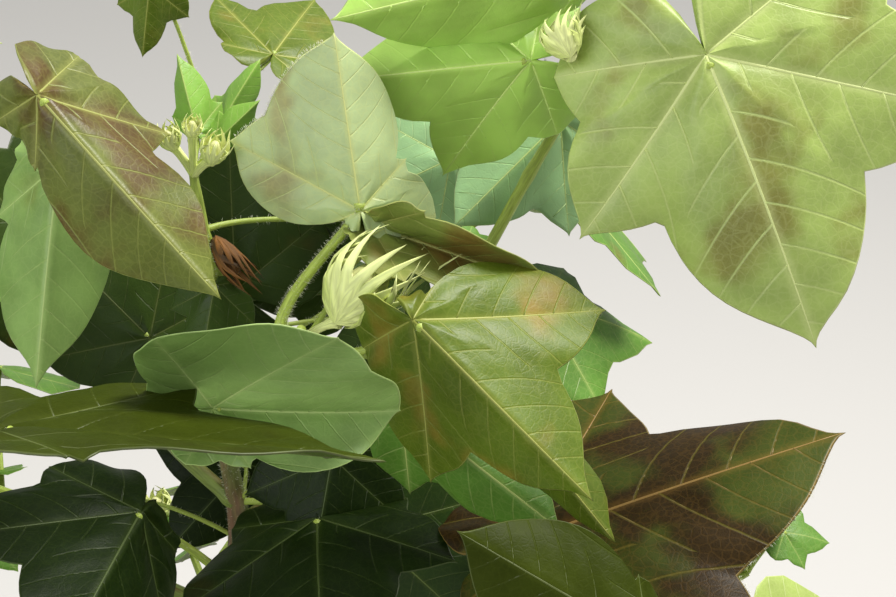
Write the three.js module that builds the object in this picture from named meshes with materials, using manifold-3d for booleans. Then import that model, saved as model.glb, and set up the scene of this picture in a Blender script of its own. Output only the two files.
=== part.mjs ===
// Cotton plant in a round clay pot, before its flowers open. Millimetres, +Z up.
// The pot stands on z = 0 with its axis on x = 0, y = 0.
// One upright main stem carries side boughs; each bough ends where its mass of leaves begins.
import * as THREE from 'three';
import { mergeVertices } from 'three/addons/utils/BufferGeometryUtils.js';
import Module from 'manifold-3d';

const wasm = await Module();
wasm.setup();

// Sizes of the pot and of the soil in it
const pot_height = 238;
const pot_top_radius = 142;
const pot_foot_radius = 100;
const pot_wall = 9;
const pot_floor = 12;
const rim_height = 36;
const rim_step = 7;
const rim_round = 3;
const drain_radius = 6;
const drain_ring_radius = 58;
const drain_count = 4;
const soil_level = 212;
const pot_segments = 32;

// Sizes of the main stem
const stem_foot_radius = 7.2;
const stem_flare_radius = 12;
const stem_flare_height = 24;
const stem_top_radius = 2.8;
const stem_top = 948;
const stem_zigzag = 2.2;
const stem_node_step = 46;
const stem_sides = 7;

// Sizes shared by boughs, twigs, leaf stalks and leaves
const piece_gap = 0.3;
const bough_root_radius = 3.6;
const bough_root_share = 0.84;
const bough_taper = 0.8;
const twig_tip_radius = 1.5;
const stalk_root_radius = 1.55;
const stalk_tip_radius = 1.05;
const bough_sides = 5;
const bough_steps = 4;
const twig_sides = 5;
const stalk_sides = 3;
const stalk_steps = 3;
const bud_teeth = 5;
const grown_bud_radius = 6.5;
const leaf_thickness_share = 0.02;
const leaf_ring_share = 0.5;
const ringed_size = 65;
const blade_centre_share = 0.22;
const stalk_end_share = 0.045;
const least_clearance = 0.7;
const most_tries = 24;

// Curve of a leaf's stalk: how far it runs straight out of its node, how far it runs straight
// into the blade, and how much it lifts at its root
const stalk_start_share = 0.34;
const stalk_end_share_behind = 0.24;
const stalk_lift = 0.35;

// Growing rule of the twigs: swing to either side and sinking at each node in degrees, and step
const twig_swing = [12, 24];
const twig_sink = [2, 9];
const twig_step = [40, 56];
const twig_step_drop = 0.12;

// Growing rule of the leaves: directions of the stalk and of the blade in degrees, and shares
const leaf_swing = [-38, 38];
const stalk_rise = [16, 58];
const stalk_length_share = [0.78, 1.12];
const leaf_size_share = [0.8, 1.06];
const leaf_shape_share = [0.92, 1.05];
const blade_swing_share = [0.4, 1.6];
const blade_hang = [-46, -4];
const blade_roll = [-22, 22];
const blade_fold = [-22, -4];
const blade_droop = [10, 34];
const leaf_size_drop = 0.13;
const retry_size_drop = 0.016;
const outer_leaf_turn = 58;
const inner_leaf_turn = 62;
const inner_leaf_share = 0.8;
const end_leaf_share = 0.78;

// A leaf has five lobes. Each has an angle from the midrib in degrees, and its edge drops
// beside the lobe's tip by a narrow share and further out by a wide share at thirty degrees.
const lobe_angles = [-108, -56, 0, 56, 108];
const lobe_narrow_drop = [0.06, 0.237, 0.237, 0.237, 0.06];
const lobe_wide_drop = [0.10, 0.14, 0.12, 0.14, 0.10];
const plain_lobes = [0.66, 0.88, 0.88, 0.66];
const least_edge_share = 0.12;
const base_notch_angle = 14;
const base_notch_share = 0.06;
const half_leaf_angles = [14, 32, 56, 70, 83, 108, 148];

// The leaves of the upper front were laid out as seen from thirty degrees above the horizon.
// Their places are given across, up and toward the viewer from this point of the crown.
const sight_centre = [74, -25, 956];
const sight_elevation = 30;
const sight_distance = 527;
const sight_half_width = 137;
const sight_half_height = 92;
const sight_clear_depth = -45;

// Openings of the crown seen from there: left, right, bottom and top edge
const open_windows = [
  [-92, -58, 56, 95],
  [-34, -3, 44, 73],
  [88, 140, -44, -9],
  [118, 140, -95, -42],
  [-140, -64, -72, -42],
];

// Seeded numbers between 0 and 1, the same on every run
function seededNumbers(seed) {
  let state = (seed * 7919 + 104729) % 2147483647;
  const next = () => {
    state = (state * 48271) % 2147483647;
    return state / 2147483647;
  };
  for (let i = 0; i < 4; i += 1) next();
  return (low, high) => low + (high - low) * next();
}

const radians = THREE.MathUtils.degToRad;
const vec = (p) => new THREE.Vector3(p[0], p[1], p[2]);

// Solid helpers: a three.js geometry as a closed solid, and back
function solidOf(geometry) {
  const bare = new THREE.BufferGeometry();
  bare.setAttribute('position', geometry.getAttribute('position').clone());
  bare.setIndex(geometry.getIndex());
  const merged = mergeVertices(bare, 1e-4);
  const points = merged.getAttribute('position').array;
  const faces = [];
  const index = merged.getIndex().array;
  let volume = 0;
  const corner = (i) => new THREE.Vector3().fromArray(points, 3 * i);
  for (let i = 0; i < index.length; i += 3) {
    const [a, b, c] = [index[i], index[i + 1], index[i + 2]];
    if (a === b || b === c || c === a) continue;
    faces.push(a, b, c);
    volume += corner(a).dot(corner(b).cross(corner(c)));
  }
  if (volume < 0) {
    for (let i = 0; i < faces.length; i += 3) [faces[i], faces[i + 1]] = [faces[i + 1], faces[i]];
  }
  return new wasm.Manifold(new wasm.Mesh({
    numProp: 3,
    vertProperties: new Float32Array(points),
    triVerts: new Uint32Array(faces),
  }));
}

function geometryOf(solid) {
  const mesh = solid.getMesh();
  const geometry = new THREE.BufferGeometry();
  geometry.setAttribute('position', new THREE.BufferAttribute(new Float32Array(mesh.vertProperties), 3));
  geometry.setIndex(new THREE.BufferAttribute(new Uint32Array(mesh.triVerts), 1));
  geometry.computeVertexNormals();
  return geometry;
}

// A round limb through a list of points: a cylinder bent along them, with one radius at each
function limb(points, radii, sides) {
  const steps = points.length - 1;
  const geometry = new THREE.CylinderGeometry(1, 1, 1, sides, steps);
  const tangents = points.map((p, i) => {
    const before = points[Math.max(i - 1, 0)];
    const after = points[Math.min(i + 1, steps)];
    return after.clone().sub(before).normalize();
  });
  const upright = Math.abs(tangents[0].z) > 0.9 ? new THREE.Vector3(1, 0, 0) : new THREE.Vector3(0, 0, 1);
  let normal = new THREE.Vector3().crossVectors(tangents[0], upright).normalize();
  const frames = tangents.map((tangent) => {
    normal = normal.clone().addScaledVector(tangent, -normal.dot(tangent)).normalize();
    return [normal, new THREE.Vector3().crossVectors(tangent, normal)];
  });
  const spots = geometry.getAttribute('position');
  for (let i = 0; i < spots.count; i += 1) {
    const row = Math.round((spots.getY(i) + 0.5) * steps);
    const [side, other] = frames[row];
    const spot = points[row].clone()
      .addScaledVector(side, spots.getX(i) * radii[row])
      .addScaledVector(other, -spots.getZ(i) * radii[row]);
    spots.setXYZ(i, spot.x, spot.y, spot.z);
  }
  return solidOf(geometry);
}

function evenRadii(count, first, last) {
  return Array.from({ length: count }, (unused, i) => THREE.MathUtils.lerp(first, last, i / (count - 1)));
}

// Outline of a leaf: its reach from the stalk's end at an angle, as a share of the midrib
function edgeShare(angle, lobes) {
  const shares = [lobes[0], lobes[1], 1, lobes[2], lobes[3]];
  let reach = least_edge_share;
  shares.forEach((share, i) => {
    const apart = Math.abs(angle - lobe_angles[i]);
    const q = Math.min(apart, 360 - apart) / 30;
    const drop = lobe_narrow_drop[i] * q ** 0.55 + lobe_wide_drop[i] * q ** 2.2;
    reach = Math.max(reach, share * (1 - drop));
  });
  const open = THREE.MathUtils.clamp((180 - Math.abs(angle)) / base_notch_angle, 0, 1);
  const eased = open * open * (3 - 2 * open);
  return reach * (base_notch_share + (1 - base_notch_share) * eased);
}

// A point of the leaf's skin: folded along the midrib, then drooping along its length.
// x runs to the right, y along the midrib and z out of the upper face. share runs from
// the middle of the blade, which is a little up the midrib, to its edge.
function leafPoint(leaf, angle, share, height) {
  const reach = edgeShare(angle, leaf.lobes) * leaf.size;
  const middle = blade_centre_share * leaf.size;
  const x = share * reach * Math.sin(radians(angle));
  const y = middle + share * (reach * Math.cos(radians(angle)) - middle);
  const onMidrib = Math.abs(x) < 1e-6 * leaf.size;
  const fold = onMidrib ? 0 : radians(x < 0 ? leaf.fold[0] : leaf.fold[1]);
  const side = x < 0 ? -1 : 1;
  const across = side * (Math.abs(x) * Math.cos(fold) - height * Math.sin(fold));
  const out = Math.abs(x) * Math.sin(fold) + height * Math.cos(fold);
  const bend = radians(Math.abs(leaf.droop) < 0.01 ? 0.01 : leaf.droop) / leaf.size;
  const turn = bend * y;
  return new THREE.Vector3(
    across,
    Math.sin(turn) / bend + out * Math.sin(turn),
    -(1 - Math.cos(turn)) / bend + out * Math.cos(turn),
  );
}

// Leaf space to the frame it is laid out in: rolled about the midrib, tip leaned up, turned clockwise
function leafTurn(turn, lean, roll) {
  const about_midrib = new THREE.Matrix4().makeRotationY(radians(roll));
  const tip_up = new THREE.Matrix4().makeRotationX(radians(lean));
  const clockwise = new THREE.Matrix4().makeRotationZ(-radians(turn));
  return clockwise.multiply(tip_up).multiply(about_midrib);
}

const sight_frame = new THREE.Matrix4().makeRotationX(radians(90 - sight_elevation));

function bladeSolid(leaf) {
  const angles = [-180, ...half_leaf_angles.map((a) => -a).reverse(), 0, ...half_leaf_angles, 180];
  const columns = angles.length - 1;
  const half = leaf.size * leaf_thickness_share / 2;
  const ring = half * 0.8;
  const plain = [[0, half], [1, 0], [0, -half]];
  const ringed = [[0, half], [leaf_ring_share, ring], [1, 0], [leaf_ring_share, -ring], [0, -half]];
  const rows = leaf.ringed ? ringed : plain;
  const geometry = new THREE.SphereGeometry(1, columns, rows.length - 1);
  const spots = geometry.getAttribute('position');
  for (let i = 0; i < spots.count; i += 1) {
    const [share, height] = rows[Math.floor(i / (columns + 1))];
    const spot = leafPoint(leaf, angles[i % (columns + 1)], share, height).applyMatrix4(leaf.turning);
    spots.setXYZ(i, spot.x + leaf.at.x, spot.y + leaf.at.y, spot.z + leaf.at.z);
  }
  return solidOf(geometry);
}

// The stalk of a leaf leaves its node upward and outward and meets the blade from behind
function stalkPoints(leaf, count) {
  const end = new THREE.Vector3(0, stalk_end_share * leaf.size, 0).applyMatrix4(leaf.turning).add(leaf.at);
  const length = end.distanceTo(leaf.root);
  const behind = new THREE.Vector3(0, -0.75, -0.65).applyMatrix4(leaf.turning);
  const rise = leaf.at.clone().sub(leaf.root).normalize();
  rise.add(new THREE.Vector3(0, 0, stalk_lift)).normalize();
  const curve = new THREE.CubicBezierCurve3(
    leaf.root,
    leaf.root.clone().addScaledVector(rise, length * stalk_start_share),
    end.clone().addScaledVector(behind, length * stalk_end_share_behind),
    end,
  );
  return curve.getPoints(count);
}

function stalkSolid(leaf) {
  const points = stalkPoints(leaf, stalk_steps);
  const thin = THREE.MathUtils.clamp(leaf.size / 70, 0.55, 1.1);
  const radii = evenRadii(stalk_steps + 1, stalk_root_radius * thin, stalk_tip_radius * thin);
  return limb(points, radii, stalk_sides);
}

// A flower bud in its toothed green bracts, on a short stalk
function squareSolid(square) {
  const geometry = new THREE.CylinderGeometry(1, 1, 1, bud_teeth * 2, 3);
  const spots = geometry.getAttribute('position');
  const axis = square.tip.clone().sub(square.base).normalize();
  const side = new THREE.Vector3().crossVectors(axis, new THREE.Vector3(1, 0, 0.2)).normalize();
  const other = new THREE.Vector3().crossVectors(axis, side);
  const height = square.tip.distanceTo(square.base);
  const widths = [0.32, 0.96, 0.84, 0.4];
  for (let i = 0; i < spots.count; i += 1) {
    const x = spots.getX(i);
    const z = spots.getZ(i);
    const row = Math.round((spots.getY(i) + 0.5) * 3);
    const onAxis = Math.hypot(x, z) < 0.5;
    const tooth = Math.round(Math.atan2(x, z) / (Math.PI / bud_teeth)) % 2 === 0;
    let rise = height * row / 3;
    let width = widths[row] * square.radius;
    if (row === 3 && onAxis) rise = height * 0.72;
    if (row === 3 && !onAxis) {
      rise = height * (tooth ? 1 : 0.78);
      width *= tooth ? 0.8 : 1.3;
    }
    const spot = square.base.clone().addScaledVector(axis, rise)
      .addScaledVector(side, x * width)
      .addScaledVector(other, z * width);
    spots.setXYZ(i, spot.x, spot.y, spot.z);
  }
  const neck = square.base.clone().addScaledVector(axis, height * 0.12);
  const middle = square.root.clone().lerp(neck, 0.55);
  const stalk = limb([square.root, middle, neck], [1.3, 1.15, 1.3], stalk_sides);
  return solidOf(geometry).add(stalk);
}

// Main stem: slightly zigzag from node to node, tapering, flared at the foot and cut flat on the soil
function stemPoint(z) {
  const node = (z - soil_level) / stem_node_step;
  const lower = Math.floor(node);
  const shift = (i) => (i <= 1 ? 0 : stem_zigzag * (i % 2 === 0 ? 1 : -1));
  const part = THREE.MathUtils.clamp(node - lower, 0, 1);
  const x = THREE.MathUtils.lerp(shift(lower), shift(lower + 1), part);
  const y = THREE.MathUtils.lerp(shift(lower - 1), shift(lower), part) * 0.6;
  return new THREE.Vector3(x, y, z);
}

function stemRadius(z) {
  const share = (z - soil_level) / (stem_top - soil_level);
  const plain = THREE.MathUtils.lerp(stem_foot_radius, stem_top_radius, share ** 0.85);
  const low = THREE.MathUtils.clamp(1 - (z - soil_level) / stem_flare_height, 0, 1);
  return plain + (stem_flare_radius - stem_foot_radius) * low ** 2;
}

function stemSolid(extra) {
  const foot = soil_level + piece_gap;
  const heights = [foot, foot + 7, foot + 15, foot + stem_flare_height];
  for (let z = soil_level + stem_node_step; z < stem_top - 10; z += stem_node_step) heights.push(z);
  heights.push(stem_top);
  const radii = heights.map((z) => stemRadius(z) + extra);
  return limb(heights.map(stemPoint), radii, stem_sides);
}

const stem = stemSolid(0);
const stem_with_gap = stemSolid(piece_gap);

// Pot and soil, both turned about the upright axis
function innerRadius(z) {
  return THREE.MathUtils.lerp(pot_foot_radius, pot_top_radius - rim_step, z / pot_height) - pot_wall;
}

function turnedSolid(profile) {
  const geometry = new THREE.LatheGeometry(profile.map((p) => new THREE.Vector2(p[0], p[1])), pot_segments);
  return solidOf(geometry.rotateX(Math.PI / 2));
}

function potSolid() {
  const rim_foot = pot_height - rim_height;
  const outer = (z) => THREE.MathUtils.lerp(pot_foot_radius, pot_top_radius - rim_step, z / pot_height);
  const profile = [
    [0, 0], [pot_foot_radius - rim_round, 0], [outer(rim_round), rim_round],
    [outer(rim_foot), rim_foot], [outer(rim_foot) + rim_step - 1, rim_foot + 1],
    [pot_top_radius, pot_height - rim_round], [pot_top_radius - rim_round, pot_height],
    [innerRadius(pot_height) + rim_round, pot_height],
    [innerRadius(pot_height - rim_round), pot_height - rim_round],
    [innerRadius(pot_floor + 6), pot_floor + 6], [innerRadius(pot_floor) - 6, pot_floor],
    [0, pot_floor],
  ];
  let solid = turnedSolid(profile);
  for (let i = 0; i < drain_count; i += 1) {
    const way = radians(45 + 360 * i / drain_count);
    const hole = new THREE.CylinderGeometry(drain_radius, drain_radius, 3 * pot_floor, 10);
    hole.rotateX(Math.PI / 2);
    hole.translate(drain_ring_radius * Math.cos(way), drain_ring_radius * Math.sin(way), pot_floor / 2);
    solid = solid.subtract(solidOf(hole));
  }
  return solid;
}

function soilSolid() {
  const foot = pot_floor + piece_gap;
  const profile = [
    [0, foot], [innerRadius(pot_floor) - 6.5, foot],
    [innerRadius(pot_floor + 6) - piece_gap * 1.4, pot_floor + 6.2],
    [innerRadius(soil_level - 2) - piece_gap * 1.4, soil_level - 2],
    [innerRadius(soil_level) - 4, soil_level],
    [0, soil_level],
  ];
  return turnedSolid(profile);
}

// Boughs. Each has its height on the main stem, its compass angle from +x, its rise and its length.
// The upper front ones carry leaves that are laid out one by one; the rest follow the growing rule.
const laid_boughs = {
  centre: { height: 884, tip: [19, -25, 922], twig: [[26, -36, 944], [31, -43, 956]] },
  front: { height: 772, tip: [-30, -98, 838], twig: [[-38, -124, 878], [-46, -136, 930]] },
  right: { height: 850, tip: [82, 34, 932], twig: [[101, 42, 965], [117, 44, 995], [128, 38, 1020]] },
  low_right: { height: 790, tip: [72, -42, 834], twig: [[87, -61, 850], [86, -97, 864]] },
  back: { height: 828, tip: [-6, 76, 905], twig: [[-9, 96, 932], [-14, 106, 958]] },
};

const grown_boughs = [
  { name: 'a', height: 300, compass: 352, rise: 50, length: 150, nodes: 4, size: 88 },
  { name: 'b', height: 345, compass: 150, rise: 48, length: 150, nodes: 4, size: 90 },
  { name: 'c', height: 395, compass: 268, rise: 36, length: 112, nodes: 3, size: 96 },
  { name: 'd', height: 440, compass: 48, rise: 34, length: 112, nodes: 3, size: 98 },
  { name: 'e', height: 490, compass: 190, rise: 34, length: 108, nodes: 3, size: 98 },
  { name: 'f', height: 540, compass: 318, rise: 34, length: 104, nodes: 3, size: 96 },
  { name: 'g', height: 585, compass: 100, rise: 35, length: 100, nodes: 3, size: 94 },
  { name: 'h', height: 630, compass: 232, rise: 36, length: 98, nodes: 3, size: 92 },
  { name: 'i', height: 675, compass: 8, rise: 38, length: 96, nodes: 3, size: 90 },
  { name: 'j', height: 718, compass: 145, rise: 40, length: 92, nodes: 3, size: 84 },
  { name: 'k', height: 758, compass: 58, rise: 42, length: 88, nodes: 3, size: 80 },
  { name: 'l', height: 810, compass: 196, rise: 44, length: 84, nodes: 3, size: 76 },
  { name: 'm', height: 862, compass: 158, rise: 42, length: 62, nodes: 3, size: 62 },
];

function boughPoints(start, tip, count) {
  const length = start.distanceTo(tip);
  const flat = new THREE.Vector3(tip.x - start.x, tip.y - start.y, 0).normalize();
  const bend = start.clone().lerp(tip, 0.45).add(new THREE.Vector3(0, 0, -0.06 * length));
  bend.addScaledVector(flat, 0.05 * length);
  return new THREE.QuadraticBezierCurve3(start, bend, tip).getPoints(count);
}

// A bough is never thicker than the stem that bears it
function boughRadius(start) {
  return Math.min(bough_root_radius, bough_root_share * stemRadius(start.z));
}

function boughSolid(start, tip) {
  const points = boughPoints(start, tip, bough_steps);
  const root = boughRadius(start);
  const radii = evenRadii(bough_steps + 1, root, root * bough_taper);
  return limb(points, radii, bough_sides).subtract(stem_with_gap);
}

// Twig of a mass: from the bough's tip, a small gap away, through its nodes
function twigSolid(start, tip, nodes) {
  const path = boughPoints(start, tip, bough_steps);
  const heading = path[bough_steps].clone().sub(path[bough_steps - 1]).normalize();
  const first = tip.clone().addScaledVector(heading, piece_gap);
  const second = first.clone().addScaledVector(heading, 6);
  const points = [first, second, ...nodes];
  const radii = evenRadii(points.length, boughRadius(start) * bough_taper, twig_tip_radius);
  return limb(points, radii, twig_sides);
}

// Leaves that are laid out one by one. at: across, up and toward the viewer, from the sight centre.
// node: which twig node of the mass its stalk grows from. lobes: left and right lobe lengths.
const laid_leaves = {
  right: [
    { at: [75, 71, 20], turn: 158, lean: 5, roll: 0, size: 94, fold: [-2, -20], droop: 25, node: 1,
      lobes: [0.66, 0.88, 0.72, 0.5] },
    { at: [25, 72, 0], turn: 264, lean: 5, roll: 0, size: 60, fold: [-48, -30], droop: 10, node: 1,
      lobes: [0.55, 0.9, 0.8, 0.5] },
    { at: [45, 100, 18], turn: 257, lean: 0, roll: 0, size: 82, fold: [-24, -10], droop: 2, node: 2,
      lobes: [0.2, 0.32, 0.88, 0.6] },
    { at: [38, 60, -60], turn: 225, lean: 10, roll: 0, size: 52, fold: [-30, -30], droop: 10, node: 0,
      lobes: [0.5, 0.8, 0.8, 0.5] },
  ],
  centre: [
    { at: [-26, 26, 10], turn: -8, lean: 15, roll: 0, size: 53, fold: [-16, -63], droop: 10, node: 0,
      lobes: [0.3, 0.86, 0.75, 0.3] },
    { at: [-22, 20, -12], turn: 105, lean: 0, roll: -10, size: 62, fold: [55, 32], droop: 5, node: 1,
      lobes: [0.25, 0.5, 0.46, 0.25] },
    { at: [-10, -6, 35], turn: 135, lean: 10, roll: 0, size: 72, fold: [-38, -52], droop: 10, node: 1,
      lobes: [0.35, 0.9, 0.88, 0.5] },
    { at: [-15, -33, -12], turn: 128, lean: 0, roll: 0, size: 64, fold: [-40, -46], droop: 5, node: 0,
      lobes: [0.3, 0.5, 0.6, 0.4] },
    { at: [16, -31, 4], turn: 141, lean: 0, roll: 0, size: 55, fold: [-60, -60], droop: 5, node: 0,
      lobes: [0.15, 0.2, 0.2, 0.15] },
    { at: [-61, -26, 68], turn: 94, lean: -3, roll: 13, size: 53, fold: [45, 36], droop: 21, node: 0,
      lobes: [0.4, 1, 0.38, 0.33] },
  ],
  front: [
    { at: [-107, -31, 115], turn: 92, lean: 3, roll: -73, size: 93, fold: [-7, 16], droop: 5, node: 1,
      lobes: [0.49, 0.72, 0.55, 0.32] },
  ],
  low_right: [
    { at: [23, -76, -20], turn: 70, lean: 0, roll: -55, size: 108, fold: [-10, -10], droop: 5, node: 0,
      lobes: [0.35, 0.8, 0.9, 0.35] },
    { at: [55, -94, 52], turn: 300, lean: 0, roll: 0, size: 61, fold: [-20, -30], droop: 4, node: 1,
      lobes: [0.5, 0.8, 0.32, 0.2] },
  ],
  back: [
    { at: [1, 51, -110], turn: 245, lean: 0, roll: 0, size: 40, fold: [-20, -20], droop: 5, node: 0,
      lobes: [0.6, 0.88, 0.88, 0.6] },
    { at: [-66, 92, -130], turn: 25, lean: -50, roll: 0, size: 50, fold: [-4, -4], droop: 5, node: 1,
      lobes: [0.4, 0.8, 0.8, 0.4] },
    { at: [-104, 109, -80], turn: 190, lean: -20, roll: 0, size: 26, fold: [-40, -40], droop: 5, node: 1,
      lobes: [0.5, 0.8, 0.8, 0.5] },
  ],
  tip: [
    { at: [-113, 56, 48], turn: 138, lean: 5, roll: 0, size: 82, fold: [-62, -35], droop: 10, node: 0,
      lobes: [0.4, 0.62, 0.3, 0.25] },
    { at: [-115, 40, 12], turn: 187, lean: 0, roll: 0, size: 68, fold: [-50, -40], droop: 10, node: 0,
      lobes: [0.3, 0.55, 0.5, 0.3] },
    { at: [-72, 4, -10], turn: 190, lean: 0, roll: 0, size: 27, fold: [-30, -30], droop: 10, node: 0,
      lobes: [0.2, 0.7, 0.7, 0.2] },
    { at: [-34, 27, -45], turn: 290, lean: -30, roll: 0, size: 44, fold: [-60, -60], droop: 5, node: 0,
      lobes: [0.5, 0.8, 0.8, 0.5] },
    { at: [-70, 47, 3], turn: 50, lean: 20, roll: 10, size: 19, fold: [-50, -50], droop: 30, node: 1,
      lobes: [0.3, 0.6, 0.6, 0.3] },
    { at: [-76, 50, -2], turn: 345, lean: 10, roll: 0, size: 26, fold: [-55, -45], droop: 30, node: 1,
      lobes: [0.3, 0.6, 0.6, 0.3] },
    { at: [-70, 54, -10], turn: 30, lean: 0, roll: 0, size: 24, fold: [-50, -50], droop: 20, node: 1,
      lobes: [0.3, 0.6, 0.6, 0.3] },
  ],
};

// Single leaves on the main stem. The first five are laid out, the rest are grown.
const stem_leaves = [
  { name: 'low_front', from: 800, at: [-43, -72, -45], turn: 170, lean: 66, roll: 0, size: 76,
    fold: [-8, -8], droop: 15, lobes: [0.42, 0.7, 0.74, 0.42] },
  { name: 'low_left', from: 822, at: [-98, -68, -30], turn: 200, lean: 62, roll: 0, size: 74,
    fold: [-50, -8], droop: 10, lobes: [0.3, 0.6, 0.88, 0.5] },
  { name: 'inner_right', from: 905, at: [-36, 2, -76], turn: 265, lean: 0, roll: 0, size: 36,
    fold: [-50, -50], droop: 5, lobes: [0.5, 0.8, 0.8, 0.5] },
  { name: 'inner_left', from: 890, at: [-102, -7, -70], turn: 240, lean: 0, roll: 0, size: 28,
    fold: [-30, -30], droop: 5, lobes: [0.5, 0.8, 0.8, 0.5] },
  { name: 'small_left', from: 846, at: [-109, -68, -60], turn: 245, lean: 20, roll: 0, size: 20,
    fold: [-10, -10], droop: 5, lobes: [0.5, 0.8, 0.8, 0.5] },
];

const grown_stem_leaves = [
  { name: 'one', from: 372, compass: 20, size: 84 },
  { name: 'two', from: 466, compass: 120, size: 92 },
  { name: 'three', from: 514, compass: 250, size: 96 },
  { name: 'four', from: 562, compass: 30, size: 94 },
  { name: 'five', from: 608, compass: 340, size: 94 },
  { name: 'six', from: 652, compass: 125, size: 90 },
  { name: 'seven', from: 698, compass: 255, size: 86 },
  { name: 'eight', from: 738, compass: 80, size: 82 },
];

// Flower buds that are laid out with the front leaves, from base to tip, and the twig node they grow from
const laid_squares = {
  centre: [
    { base: [-31, -8, 12], tip: [-22, 17, 15], radius: 11.5, node: 0 },
  ],
  right: [
    { base: [28, 64, -22], tip: [32, 84, -18], radius: 8, node: 1 },
  ],
};

function sightToWorld(p) {
  return new THREE.Vector3(p[0], p[1], p[2]).applyMatrix4(sight_frame).add(vec(sight_centre));
}

function laidLeaf(plan, root) {
  return {
    ...plan, root, ringed: plan.size > ringed_size, at: sightToWorld(plan.at),
    turning: sight_frame.clone().multiply(leafTurn(plan.turn, plan.lean, plan.roll)),
  };
}

function laidSquare(plan, root) {
  return { root, base: sightToWorld(plan.base), tip: sightToWorld(plan.tip), radius: plan.radius };
}

// True where a grown leaf would hide a laid-out one or close an opening of the crown
function spoilsTheSight(solid) {
  const back = sight_frame.clone().transpose();
  const mesh = solid.getMesh();
  for (let i = 0; i < mesh.vertProperties.length; i += 3) {
    const p = new THREE.Vector3().fromArray(mesh.vertProperties, i);
    p.sub(vec(sight_centre)).applyMatrix4(back);
    const scale = sight_distance / (sight_distance - p.z);
    const across = p.x * scale;
    const up = p.y * scale;
    const framed = Math.abs(across) < sight_half_width && Math.abs(up) < sight_half_height;
    if (framed && p.z > sight_clear_depth) return true;
    if (p.z > sight_distance - 60) return true;
    for (const [left, right, bottom, top] of open_windows) {
      if (across > left && across < right && up > bottom && up < top) return true;
    }
  }
  return false;
}

// Finished pieces, kept with their boxes so that a new leaf can be tested against them
const finished = [];

function keep(solid) {
  const box = solid.boundingBox();
  finished.push({ solid, box });
}

function touches(solid, others, clearance = least_clearance) {
  const box = solid.boundingBox();
  return others.some((other) => {
    for (let axis = 0; axis < 3; axis += 1) {
      if (box.min[axis] > other.box.max[axis] + clearance) return false;
      if (box.max[axis] < other.box.min[axis] - clearance) return false;
    }
    return solid.minGap(other.solid, clearance) < clearance - 1e-6;
  });
}

const boxed = (solid) => ({ solid, box: solid.boundingBox() });

// The growing rule of a leaf: its stalk swings out to one side and rises, and the blade hangs
// outward from the stalk's end. heading is a compass angle from +x, counterclockwise.
function grownLeaf(seed, root, heading, size) {
  const pick = seededNumbers(seed);
  const swing = pick(...leaf_swing);
  const rise = radians(pick(...stalk_rise));
  const reach = size * pick(...stalk_length_share);
  const way = radians(heading + swing);
  const flat = Math.cos(rise);
  const outward = new THREE.Vector3(Math.cos(way) * flat, Math.sin(way) * flat, Math.sin(rise));
  const grown_size = size * pick(...leaf_size_share);
  const shape = pick(...leaf_shape_share);
  const turn = 90 - heading - swing * pick(...blade_swing_share);
  return {
    root,
    at: root.clone().addScaledVector(outward, reach),
    size: grown_size,
    turning: leafTurn(turn, pick(...blade_hang), pick(...blade_roll)),
    fold: [pick(...blade_fold), pick(...blade_fold)],
    droop: pick(...blade_droop),
    lobes: plain_lobes.map((lobe) => lobe * shape),
  };
}

// Tries the same leaf with new seeded numbers until it is clear of everything, or leaves it out.
// own holds the limb that the leaf grows on and the blades and stalks beside it on that limb.
function placedLeaf(seed, root, heading, size, own) {
  const others = finished.filter((other) => other.solid !== own.limb);
  for (let turn = 0; turn < most_tries; turn += 1) {
    const leaf = grownLeaf(seed * 10 + turn, root, heading, size * (1 - retry_size_drop * turn));
    const blade = bladeSolid(leaf);
    const stalk = own.limb === stem ? stalkSolid(leaf).subtract(stem_with_gap) : stalkSolid(leaf);
    if (spoilsTheSight(blade)) continue;
    if (touches(blade, [...finished, ...own.stalks, ...own.blades])) continue;
    if (touches(stalk, [...others, ...own.blades])) continue;
    return [blade, stalk];
  }
  return null;
}

// Nodes of a grown twig: a zigzag that goes on from the bough and sinks a little at each step
function grownTwig(seed, start, tip, count) {
  const pick = seededNumbers(seed);
  const path = boughPoints(start, tip, bough_steps);
  const heading = path[bough_steps].clone().sub(path[bough_steps - 1]).normalize();
  let compass = THREE.MathUtils.radToDeg(Math.atan2(heading.y, heading.x));
  let rise = THREE.MathUtils.radToDeg(Math.asin(heading.z));
  let spot = tip.clone().addScaledVector(heading, 6 + piece_gap);
  const nodes = [];
  for (let i = 0; i < count; i += 1) {
    const side = i % 2 === 0 ? 1 : -1;
    compass += side * pick(...twig_swing);
    rise -= pick(...twig_sink);
    const step = pick(...twig_step) * (1 - twig_step_drop * i);
    const way = new THREE.Vector3(
      Math.cos(radians(compass)) * Math.cos(radians(rise)),
      Math.sin(radians(compass)) * Math.cos(radians(rise)),
      Math.sin(radians(rise)),
    );
    spot = spot.clone().addScaledVector(way, step);
    nodes.push({ spot, compass, side });
  }
  return nodes;
}

// The bud at a twig's end, on a short stalk to one side
function grownSquare(node) {
  const lean = radians(node.compass + 90 * node.side);
  const sideways = new THREE.Vector3(Math.cos(lean), Math.sin(lean), 0);
  const upward = (out, up) => node.spot.clone().addScaledVector(sideways, out).setZ(node.spot.z + up);
  return { root: node.spot, base: upward(7, 7), tip: upward(13, 23), radius: grown_bud_radius };
}

const group = new THREE.Group();
group.name = 'cotton_plant';

function addMesh(name, solid, colour) {
  const material = new THREE.MeshStandardMaterial({ color: colour, roughness: 0.7, metalness: 0 });
  const mesh = new THREE.Mesh(geometryOf(solid), material);
  mesh.name = name;
  group.add(mesh);
}

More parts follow.
